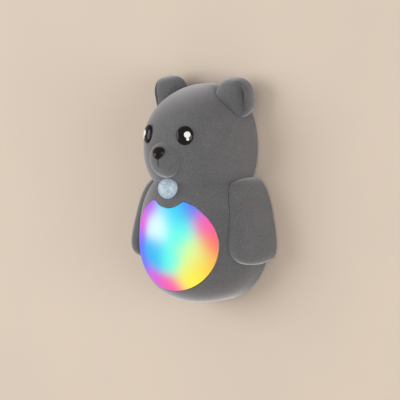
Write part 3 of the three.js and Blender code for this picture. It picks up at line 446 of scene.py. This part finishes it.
ARM = {
    "top": 63.5, "bottom": 20.6, "half_thickness": 9.5, "lean_top": 24.2, "lean_bottom": 32.3,
    "reach_top": 21.8, "reach_bottom": 28.5, "upright": 2.8, "front_upright": 4, "section": 2.4,
    "rear_lift": 1.4,
}


def right_arm():
    """A flat-backed arm that leans out towards its paw, cut to sit against torso and head."""
    middle, half = (ARM["top"] + ARM["bottom"]) / 2, (ARM["top"] - ARM["bottom"]) / 2
    power = 2 / ARM["section"]

    def place(share_round, share_up):
        height = middle + half * sin((share_up - 0.5) * pi)
        share = (height - ARM["bottom"]) / (ARM["top"] - ARM["bottom"])
        size = fullness(2 * share - 1, ARM["upright"])
        lean = ARM["lean_bottom"] + (ARM["lean_top"] - ARM["lean_bottom"]) * share
        reach = ARM["reach_bottom"] + (ARM["reach_top"] - ARM["reach_bottom"]) * share
        angle = pi * share_round
        out = max(0.0, sin(angle)) ** power
        front = max(0.0, reach * fullness(2 * share - 1, ARM["front_upright"]) - RIM_DEPTH) * out
        height += ARM["rear_lift"] * ((1 - share) * (1 - out)) ** 2
        return at(lean + bent(cos(angle), power) * ARM["half_thickness"] * size, RIM_DEPTH + front, height)

    name = "right_arm_skin"
    return cut_by(clean(closed(formed(96, 96, place)), name), name, [torso_solid(), head_solid()])


# The corners are the powers of the outline's curves. The inner one differs between the ear's front and its back.
EAR = {
    "across": 19.6, "depth": 8.8, "height": 103.2, "nearest_wall": 1.9, "turn": radians(12), "tilt": radians(15),
    "half_width": 9.7, "rise": 10.4, "drop": 9.4, "slant": 0.13, "front": 9.2, "back": 6, "fullness": 2.8,
    "inner_corner": (1.5, 4.0), "outer_corner": 2.15, "bottom_corner": 3.0,
}
# The ear's hollow is steep towards the head and gentle away from it; floor and rim are the powers of its fading.
DISH = {
    "across": 4.4, "up": 2.6, "lean": radians(6), "steep": 3.0, "gentle": 5.4, "height": 11, "depth": 7.0,
    "floor": 1.5, "rim": 6,
}


def ear_corner(angle, along):
    """How square the ear's outline is at an angle; its inner corner changes along the way from front to back."""
    if cos(angle) < 0:
        return EAR["bottom_corner"]
    if sin(angle) > 0:
        return EAR["outer_corner"]
    front, rear = EAR["inner_corner"]
    return front + (rear - front) * (0.5 - 0.5 * cos(along))


def ear_dish(across, up, ring):
    """Depth of the ear's hollow at a point, none at the rim, where the ring is 1."""
    a, b, lean = across - DISH["across"], up - DISH["up"], DISH["lean"]
    a, b = a * cos(lean) + b * sin(lean), b * cos(lean) - a * sin(lean)
    away = hypot(a / (DISH["gentle"] if a > 0 else DISH["steep"]), b / DISH["height"])
    return DISH["depth"] * max(0.0, 1 - away**2) ** DISH["floor"] * (1 - ring ** DISH["rim"])


def right_ear():
    """A thick-lipped cup, turned outwards and tilted back."""
    power = 2 / EAR["fullness"]

    def place(share_round, share_out):
        angle = 2 * pi * share_round
        along = share_out * pi
        facing = along < pi / 2
        ring = sin(along) ** power
        corner = ear_corner(angle, along)
        square = (abs(sin(angle)) ** corner + abs(cos(angle)) ** corner) ** (-1 / corner)
        across = EAR["half_width"] * ring * square * sin(angle)
        up = (EAR["rise"] if cos(angle) > 0 else EAR["drop"]) * ring * square * cos(angle)
        out = abs(cos(along)) ** power * (EAR["front"] if facing else -EAR["back"])
        if facing:
            out -= ear_dish(across, up, ring)
        turned = Vector((across + EAR["slant"] * max(0.0, up), -out, up))
        turned.rotate(Euler((EAR["tilt"], 0, EAR["turn"])))
        depth = max(EAR["nearest_wall"], EAR["depth"] - turned.y)
        return at(EAR["across"] + turned.x, depth, EAR["height"] + turned.z)

    name = "right_ear_skin"
    return cut_by(clean(formed(96, 96, place), name), name, [head_solid()])


# Face

EYE = {
    "half_width": 4.35, "half_height": 4.75, "rise": 1.5, "across": 11.6, "height": 85.5,
    "turn": radians(26), "nod": radians(-8),
}
GLINT = {"dots": ((1.5, 0.3, 1.6), (1.8, -1.9, 0.75)), "proud": 0.12, "thickness": 0.2}  # dots: across, up, radius


def on_eye(point):
    """A point given across, up and out from the middle of the right eye's seat, put on the head."""
    local = Vector((point[0], -point[2], point[1]))
    local.rotate(Matrix.Rotation(EYE["turn"], 3, "Z") @ Matrix.Rotation(EYE["nod"], 3, "X"))
    depth = front_depth(HEAD, EYE["across"], EYE["height"])
    return at(EYE["across"] + local.x, depth - local.y, EYE["height"] + local.z)


def right_eye():
    """A shallow oval dome."""
    shape = bmesh.new()
    bmesh.ops.create_uvsphere(shape, u_segments=64, v_segments=32, radius=1)
    for vert in shape.verts:
        x, y, z = vert.co
        vert.co = on_eye((x * EYE["half_width"], y * EYE["half_height"], z * EYE["rise"]))
    return clean(shape, "right_eye_dome")


def right_glint():
    """The two white dots painted on an eye, as one thin piece that runs into the dome."""
    shape = bmesh.new()
    for across, up, radius in GLINT["dots"]:
        made = bmesh.ops.create_circle(shape, cap_ends=True, segments=32, radius=radius)
        bmesh.ops.translate(shape, vec=(across, up, 0), verts=made["verts"])
    bmesh.ops.triangulate(shape, faces=shape.faces)
    bmesh.ops.subdivide_edges(shape, edges=shape.edges, cuts=2, use_grid_fill=True)
    for vert in shape.verts:
        x, y, _ = vert.co
        share = (x / EYE["half_width"]) ** 2 + (y / EYE["half_height"]) ** 2
        vert.co = on_eye((x, y, EYE["rise"] * sqrt(max(0.0, 1 - share)) + GLINT["proud"]))
    name = "right_eye_glint"
    return thickened(clean(shape, name), name, GLINT["thickness"])


MUZZLE = {"height": 73.6, "radius": 9.3, "reach": 7.0, "sink": 3.1, "crowding": 0.75}
MOUTH = {"length": 3.8, "half_width": 0.32, "sink": 0.75, "fade": 0.8, "under_nose": 2}
NOSE = {
    "height": 76.8, "half_width": 3.6, "half_height": 3.2, "half_depth": 1.9, "tilt": radians(28),
    "bluntness": 0.8, "stretch": 1.02, "tip_width": 0.5, "widening": 0.56, "widens_over": 1.7,
}


def muzzle_depth():
    """Depth of the muzzle's middle, sunk into the head's front."""
    return front_depth(HEAD, 0, MUZZLE["height"]) - MUZZLE["sink"]


def muzzle():
    """A flattened ball with the mouth line down its front, where its columns are close together."""
    depth = muzzle_depth()
    lip_top = NOSE["height"] - NOSE["half_height"]
    lip_end = lip_top - MOUTH["length"]

    def place(share_round, share_up):
        spread = 2 * share_round - 1
        angle = pi * ((1 - MUZZLE["crowding"]) * spread + MUZZLE["crowding"] * spread**3)
        level = sin((share_up - 0.5) * pi)
        ring = cos((share_up - 0.5) * pi)
        across = MUZZLE["radius"] * ring * sin(angle)
        out = MUZZLE["reach"] * ring * cos(angle)
        height = MUZZLE["height"] + MUZZLE["radius"] * level
        if cos(angle) > 0 and height < lip_top + MOUTH["under_nose"]:
            along = min(1.0, max(0.0, (height - lip_end) / MOUTH["fade"]))
            out -= MOUTH["sink"] * along * exp(-((across / MOUTH["half_width"]) ** 2))
        return at(across, depth + out, height)

    name = "muzzle_skin"
    return cut_by(clean(formed(200, 96, place), name), name, [head_solid(0)])


def nose():
    """A tilted pad, wide at its top and narrow at its bottom."""
    depth = muzzle_depth() + MUZZLE["reach"] * fullness((NOSE["height"] - MUZZLE["height"]) / MUZZLE["radius"], 2)
    shape = bmesh.new()
    bmesh.ops.create_uvsphere(shape, u_segments=64, v_segments=40, radius=1)
    lean = Matrix.Rotation(-NOSE["tilt"], 3, "X")
    for vert in shape.verts:
        x, y, z = vert.co
        up = bent(y, NOSE["bluntness"])
        share = min(1.0, max(0.0, (up + 1) / NOSE["widens_over"]))
        width = NOSE["tip_width"] + NOSE["widening"] * sin(share * pi / 2)
        height = up * NOSE["half_height"] * NOSE["stretch"]
        local = Vector((x * NOSE["half_width"] * width, -z * NOSE["half_depth"], height))
        local.rotate(lean)
        vert.co = at(local.x, depth - local.y, NOSE["height"] + local.z)
    return clean(shape, "nose_pad")


# Sink, facing and field edge are shares of the radius.
LENS = {"radius": 5.2, "depth": 37.8, "sink": 0.5, "facing": -0.1, "field_edge": 0.008, "turn": 0.35}


def sensor_dome():
    """A dome of small lens fields, flat at the back."""
    shape = bmesh.new()
    bmesh.ops.create_icosphere(shape, subdivisions=4, radius=1, matrix=Matrix.Rotation(LENS["turn"], 4, "Y"))
    front = [f for f in shape.faces if f.calc_center_median().y < LENS["facing"]]
    bmesh.ops.inset_individual(shape, faces=front, thickness=LENS["field_edge"], depth=-LENS["field_edge"])
    for vert in shape.verts:
        x, y, z = vert.co
        y = min(y, LENS["sink"])
        vert.co = at(x * LENS["radius"], LENS["depth"] - y * LENS["radius"], NECK + z * LENS["radius"])
    return clean(shape, "sensor_dome")


# Finishes

class Value:
    """A number in a finish; arithmetic on values adds their Math nodes."""

    def __init__(self, finish, socket):
        self.finish = finish
        self.socket = socket

    def maths(self, operation, *inputs):
        return self.finish.node("ShaderNodeMath", {"operation": operation}, dict(enumerate(inputs)))

    def __add__(self, other):
        return self.maths("ADD", self, other)

    def __radd__(self, other):
        return self.maths("ADD", other, self)

    def __sub__(self, other):
        return self.maths("SUBTRACT", self, other)

    def __rsub__(self, other):
        return self.maths("SUBTRACT", other, self)

    def __mul__(self, other):
        return self.maths("MULTIPLY", self, other)

    def __rmul__(self, other):
        return self.maths("MULTIPLY", other, self)

    def __pow__(self, other):
        return self.maths("POWER", self, other)

    def __rpow__(self, other):
        return self.maths("POWER", other, self)


def socket_name(key):
    """A socket's name for a keyword, such as Base Color for base_color."""
    return key.replace("_", " ").title().replace("Ior", "IOR")


class Finish:
    """A material that is put together from nodes."""

    def __init__(self, name, **constant):
        self.material = bpy.data.materials.new(name)
        self.material.use_nodes = True
        self.tree = self.material.node_tree
        self.surface = self.tree.nodes["Principled BSDF"]
        for socket, value in constant.items():
            self.surface.inputs[socket_name(socket)].default_value = value

    def node(self, kind, settings=None, inputs=None, output=0):
        """One node of a type, with its settings, the values or links of its sockets, and the output that is used."""
        made = self.tree.nodes.new(kind)
        for key, value in (settings or {}).items():
            setattr(made, key, value)
        for key, value in (inputs or {}).items():
            if isinstance(value, Value):
                self.tree.links.new(value.socket, made.inputs[key])
            else:
                made.inputs[key].default_value = value
        return Value(self, made.outputs[output])

    def vectors(self, operation, *inputs, output="Vector"):
        """Vector maths on colours or places."""
        return self.node("ShaderNodeVectorMath", {"operation": operation}, dict(enumerate(inputs)), output)

    def spot(self):
        """Object coordinates, in metres."""
        return self.node("ShaderNodeTexCoord", output="Object")

    def place(self, scale=(1, 1, 1), turn=(0, 0, 0)):
        """Object coordinates, stretched and turned."""
        return self.node("ShaderNodeMapping", None, {"Vector": self.spot(), "Scale": scale, "Rotation": turn})

    def noise(self, scale, detail=2.0, roughness=0.5):
        return self.node("ShaderNodeTexNoise", None, {
            "Vector": self.place(), "Scale": scale, "Detail": detail, "Roughness": roughness})

    def mix(self, factor, first, second):
        """A colour between two colours."""
        return self.node("ShaderNodeMix", {"data_type": "RGBA"}, {0: factor, 6: first, 7: second}, 2)

    def between(self, value, low, high):
        """The value's share of the way from low to high, held inside 0 and 1, with soft ends."""
        return self.node("ShaderNodeMapRange", {"interpolation_type": "SMOOTHSTEP"},
                         {"Value": value, "From Min": low, "From Max": high})

    def feed(self, **links):
        """Links values to sockets of the surface."""
        for name, value in links.items():
            self.tree.links.new(value.socket, self.surface.inputs[socket_name(name)])
        return self

    def bump(self, height, distance, strength=1.0):
        """Relief of a height from 0 to 1, over a distance in millimetres."""
        self.feed(Normal=self.node("ShaderNodeBump", None, {
            "Height": height, "Distance": distance * MM, "Strength": strength}))
        return self


def tone(red, green, blue, share=1.0):
    """A colour for a socket, made lighter or darker by a share."""
    return (red * share, green * share, blue * share, 1)


PATCHES = (0.3, 0.7)  # where soft patches begin and end in a noise
GLOSS = (0.2, 0.8)  # the same for slow changes of gloss


def mottled(name, colour, spread, scale, rough, rough_spread, bump=0.0, bump_scale=None, **constant):
    """A plain finish whose colour and gloss vary softly, with a fine grain."""
    finish = Finish(name, **constant)
    cloud = finish.noise(scale, 4)
    darker, lighter = tone(*colour, 1 - spread), tone(*colour, 1 + spread)
    finish.feed(
        Base_Color=finish.mix(finish.between(cloud, *PATCHES), darker, lighter),
        Roughness=finish.between(cloud, *GLOSS) * rough_spread + rough,
    )
    if bump:
        finish.bump(finish.noise(bump_scale or 4 * scale, 2), bump)
    return finish


def grey_flock():
    """Short upright fibres: worn in places, brushed in others, dark between the tufts, with pale fibre ends."""
    shaded, worn = tone(0.09, 0.094, 0.102), tone(0.108, 0.112, 0.12)
    brushed, deep, fibre_end = tone(0.145, 0.148, 0.158), tone(0.066, 0.068, 0.073), tone(0.33, 0.325, 0.335)
    finish = Finish(
        "grey flock", sheen_weight=0.95, sheen_roughness=0.44, sheen_tint=tone(0.9, 0.91, 1), specular_ior_level=0.2)
    fibres = finish.noise(2400, 3, roughness=0.7)
    tufts = finish.noise(1000, 2, roughness=0.6)
    nap = finish.noise(90, 3)
    wear = finish.noise(30, 2)
    base = finish.mix(finish.between(wear, *PATCHES), shaded, worn)
    napped = finish.mix(finish.between(nap, 0.35, 0.7) * 0.3, base, brushed)
    tufted = finish.mix(finish.between(tufts, 0.35, 0.7) * 0.35, napped, deep)
    flecked = finish.mix(finish.between(fibres, 0.45, 0.75) * 0.35, tufted, fibre_end)
    finish.feed(Base_Color=flecked, Roughness=finish.between(nap, *GLOSS) * 0.1 + 0.88)
    return finish.bump(fibres * 0.5 + tufts * 0.3 + nap * 0.2, 0.2, 0.6)


RIM_LAMPS = {"half_width": 26, "half_height": 24}
LAMP_FALL = 0.028  # a lamp's light is halved where its distance squared times this is 1, which is 6 mm away


def belly_light():
    """Milky plastic, lit by a ring of coloured lamps and a few inside it, whose light runs into each other's."""
    finish = Finish(
        "belly light", base_color=tone(0.01, 0.02, 0.02), emission_strength=1.0, roughness=0.4,
        specular_ior_level=0.1)
    cyan, sky, blue, violet = (0.03, 0.7, 0.93), (0.02, 0.46, 0.92), (0.1, 0.14, 0.93), (0.45, 0.08, 0.84)
    magenta, pink, coral, orange = (0.75, 0.09, 0.7), (1, 0.1, 0.4), (1, 0.12, 0.1), (1, 0.45, 0.04)
    yellow, lemon, aqua, white = (1, 0.9, 0.07), (0.75, 1, 0.3), (0.12, 1, 0.84), (0.75, 1, 1.02)
    rim = (cyan, blue, pink, coral, orange, yellow, pink, magenta, blue, blue, magenta, violet)
    lamps = []
    for step, colour in enumerate(rim):
        angle = 2 * pi * step / len(rim)
        height = BELLY["middle"] + RIM_LAMPS["half_height"] * cos(angle)
        lamps.append((colour, RIM_LAMPS["half_width"] * sin(angle), height))
    lamps += [
        (white, -5.5, 40), (cyan, 5, 46), (aqua, 7, 37), (sky, -8, 26), (aqua, 3, 25), (lemon, 14, 27),
        (yellow, 15, 18),
    ]

    flat = finish.vectors("MULTIPLY", finish.spot(), (1 / MM, 0, 1 / MM))
    total, weights = None, 0.0
    for colour, across, height in lamps:
        away = finish.vectors("DISTANCE", flat, (across, 0, height - MOUNT_HEIGHT), output="Value")
        weight = 0.5 ** (away * away * LAMP_FALL)
        share = finish.node("ShaderNodeVectorMath", {"operation": "SCALE"}, {0: colour, "Scale": weight})
        total = finish.vectors("ADD", total, share) if total else share
        weights = weight + weights
    even = finish.node("ShaderNodeCombineXYZ", None, {0: weights, 1: weights, 2: weights})
    return finish.feed(Emission_Color=finish.vectors("DIVIDE", total, even))


def lens_white():
    """Pale, faintly cloudy lens plastic."""
    finish = Finish("sensor lens", specular_ior_level=0.6)
    cloud = finish.noise(900, 3)
    finish.feed(
        Base_Color=finish.mix(finish.between(cloud, 0.35, 0.65), tone(0.38, 0.5, 0.62), tone(0.54, 0.65, 0.76)),
        Roughness=finish.between(cloud, *GLOSS) * 0.2 + 0.22,
    )
    return finish.bump(cloud, 0.08)


def gloss_black():
    """Polished black plastic."""
    finish = Finish("gloss black", specular_ior_level=0.2)
    cloud = finish.noise(160, 3)
    return finish.feed(
        Base_Color=finish.mix(cloud, tone(0.003, 0.003, 0.0035), tone(0.007, 0.007, 0.008)),
        Roughness=finish.between(cloud, 0.3, 0.8) * 0.08 + 0.1,
    )


def cell_foil():
    """Crimped foil."""
    finish = Finish("cell foil", metallic=1.0)
    waves = finish.node("ShaderNodeTexWave", {"bands_direction": "Z"}, {
        "Vector": finish.place(), "Scale": 300, "Distortion": 2.0})
    cloud = finish.noise(120, 3)
    finish.feed(
        Base_Color=finish.mix(cloud, tone(0.44, 0.46, 0.5), tone(0.54, 0.56, 0.58)),
        Roughness=finish.between(waves, 0.0, 1.0) * 0.15 + 0.28,
    )
    return finish.bump(waves, 0.05)


def board_white():
    """White coated board with rows of faint pads."""
    finish = Finish("circuit board")
    tracks = finish.node("ShaderNodeTexBrick", None, {
        "Vector": finish.place(turn=(pi / 2, 0, 0)), "Scale": 220, "Mortar Size": 0.03,
        "Color1": tone(0.74, 0.77, 0.74), "Color2": tone(0.7, 0.74, 0.7), "Mortar": tone(0.5, 0.56, 0.5)})
    cloud = finish.noise(90)
    return finish.feed(Base_Color=tracks, Roughness=finish.between(cloud, *GLOSS) * 0.15 + 0.35)


finishes = {
    "grey_flock": grey_flock(),
    "gloss_black": gloss_black(),
    "milky_diffuser": belly_light(),
    "sensor_white": lens_white(),
    "white_plastic": mottled(
        "white plastic", (0.8, 0.8, 0.79), spread=0.04, scale=60, rough=0.4, rough_spread=0.15, bump=0.02),
    "grey_plastic": mottled(
        "grey plastic", (0.11, 0.11, 0.115), spread=0.1, scale=150, rough=0.5, rough_spread=0.15,
        bump=0.05, bump_scale=1500),
    "black_plastic": mottled(
        "black plastic", (0.011, 0.011, 0.012), spread=0.25, scale=200, rough=0.4, rough_spread=0.2,
        bump=0.03, bump_scale=1800),
    "board": board_white(),
    "foam": mottled(
        "foam tape", (0.27, 0.28, 0.29), spread=0.2, scale=900, rough=0.85, rough_spread=0.1,
        bump=0.2, bump_scale=900),
    "red_wire": mottled("red wire", (0.39, 0.02, 0.01), spread=0.15, scale=300, rough=0.4, rough_spread=0.1),
    "black_wire": mottled("black wire", (0.008, 0.008, 0.008), spread=0.2, scale=300, rough=0.4, rough_spread=0.1),
    "cell_foil": cell_foil(),
    "steel": mottled(
        "zinc plated steel", (0.39, 0.41, 0.42), spread=0.18, scale=260, rough=0.3, rough_spread=0.25,
        bump=0.01, bump_scale=900, metallic=1.0),
    "nickel": mottled(
        "nickel", (0.58, 0.56, 0.52), spread=0.08, scale=200, rough=0.16, rough_spread=0.15, metallic=1.0),
}
white_paint = mottled("white paint", (0.85, 0.86, 0.87), spread=0.03, scale=300, rough=0.2, rough_spread=0.1)


def paint(piece, finish):
    """Gives a piece its one finish."""
    piece.data.materials.clear()
    piece.data.materials.append(finish.material)


# The bear's outside, one piece for each node that it stands for

outside = [
    ("torso_skin", torso_skin(), "torso_shell", "grey_flock"),
    ("head_skin", head_skin(), "head_shell", "grey_flock"),
    ("muzzle_skin", muzzle(), "muzzle", "grey_flock"),
    ("nose_pad", nose(), "nose", "gloss_black"),
    ("belly_panel", belly_panel(), "belly_diffuser", "milky_diffuser"),
    ("sensor_dome", sensor_dome(), "sensor_lens", "sensor_white"),
]
pairs = [
    ("arm_skin", right_arm(), "arm", "grey_flock"),
    ("ear_skin", right_ear(), "ear", "grey_flock"),
    ("eye_dome", right_eye(), "eye", "gloss_black"),
]
for name, mesh, node, slot in pairs:
    outside.append(("right_" + name, mesh, "right_" + node, slot))
    outside.append(("left_" + name, mirrored(mesh, "left_" + name), "left_" + node, slot))
for name, mesh, node, slot in outside:
    paint(finished(name, mesh, replaces=[node], slot=slot), finishes[slot])
dot = right_glint()
for name, mesh in (("right_eye_glint", dot), ("left_eye_glint", mirrored(dot, "left_eye_glint"))):
    paint(finished(name, mesh), white_paint)

for part in frame["record"]["subparts"]:
    paint(frame["nodes"][part["node"]], finishes[part["material_slot"]])


# Wall, light and camera

WALL_HALF_SIZE = 2.5  # metres
BEHIND_BEAR = ((TORSO["widest"], 36, 35), (HEAD["widest"], 30, 33))  # ellipses: height, half width, half height


def wall():
    """A pale wall that lets the view and the light in from behind, so that the bear's back can be seen."""
    shape = bmesh.new()
    bmesh.ops.create_grid(
        shape, x_segments=8, y_segments=8, size=WALL_HALF_SIZE, matrix=Matrix.Rotation(pi / 2, 4, "X"))
    mesh = bpy.data.meshes.new("wall")
    shape.to_mesh(mesh)
    shape.free()
    piece = bpy.data.objects.new("wall", mesh)
    bpy.context.scene.collection.objects.link(piece)
    finish = Finish("pale wall paint", roughness=0.9)
    cloud = finish.noise(9, 3)
    grain = finish.noise(900, 3)
    darker, lighter = tone(0.615, 0.53, 0.45), tone(0.64, 0.55, 0.465)
    finish.feed(Base_Color=finish.mix(finish.between(cloud, *PATCHES), darker, lighter))
    finish.bump(grain, 0.05, 0.5)

    spot = finish.spot()
    covered = 0.0
    for height, half_width, half_height in BEHIND_BEAR:
        size = (1 / (half_width * MM), 0, 1 / (half_height * MM))
        scaled = finish.vectors("MULTIPLY_ADD", spot, size, (0, 0, (MOUNT_HEIGHT - height) / half_height))
        length = finish.vectors("LENGTH", scaled, output="Value")
        covered = length.maths("LESS_THAN", length, 1.0) + covered
    behind = finish.node("ShaderNodeNewGeometry", output="Backfacing")
    seen = finish.node("ShaderNodeLightPath", output="Is Camera Ray")
    open_to = behind.maths("MAXIMUM", behind, (1 - seen) * covered)
    blend = finish.node("ShaderNodeMixShader", None, {
        0: open_to.maths("MINIMUM", open_to, 1.0),
        1: Value(finish, finish.surface.outputs[0]),
        2: finish.node("ShaderNodeBsdfTransparent"),
    })
    finish.tree.links.new(blend.socket, finish.tree.nodes["Material Output"].inputs["Surface"])
    paint(piece, finish)


def lamp(name, place, size, power, colour=(1, 1, 1)):
    """A round lamp that shines at the frame's origin."""
    light = bpy.data.lights.new(name, "AREA")
    light.shape = "DISK"
    light.size = size
    light.energy = power
    light.color = colour
    thing = bpy.data.objects.new(name, light)
    thing.location = place
    thing.rotation_euler = (-Vector(place)).to_track_quat("-Z", "Y").to_euler()
    bpy.context.scene.collection.objects.link(thing)


# Distance and span, the width that the view takes in, are in metres.
CAMERA = {
    "azimuth": radians(38), "elevation": radians(4.6), "distance": 1.4, "span": 0.2, "sensor": 36,
    "aim": (-9.64, 0, -5.8), "before_aim": 22,
}


def camera():
    """The photo's view."""
    azimuth, elevation = CAMERA["azimuth"], CAMERA["elevation"]
    back = Vector((sin(azimuth) * cos(elevation), -cos(azimuth) * cos(elevation), sin(elevation)))
    aim = Vector(CAMERA["aim"]) * MM + back * CAMERA["before_aim"] * MM
    data = bpy.data.cameras.new("camera")
    data.sensor_width = CAMERA["sensor"]
    data.lens = CAMERA["sensor"] * CAMERA["distance"] / CAMERA["span"]
    data.clip_start, data.clip_end = 0.01, 20
    thing = bpy.data.objects.new("camera", data)
    thing.location = aim + back * CAMERA["distance"]
    thing.rotation_euler = (-back).to_track_quat("-Z", "Y").to_euler()
    bpy.context.scene.collection.objects.link(thing)
    bpy.context.scene.camera = thing


def daylight():
    """Soft warm light from all sides."""
    world = bpy.data.worlds.new("daylight")
    world.use_nodes = True
    bpy.context.scene.world = world
    sky = world.node_tree.nodes["Background"]
    sky.inputs["Color"].default_value = tone(1.0, 0.93, 0.85)
    sky.inputs["Strength"].default_value = 0.62


wall()
camera()
daylight()
lamp("key", (-1.1, -1.05, 0.15), size=1.2, power=13.5, colour=(0.96, 0.985, 1))
lamp("fill", (1.3, -0.6, -0.05), size=0.8, power=9)

bpy.context.scene.view_settings.view_transform = "Standard"
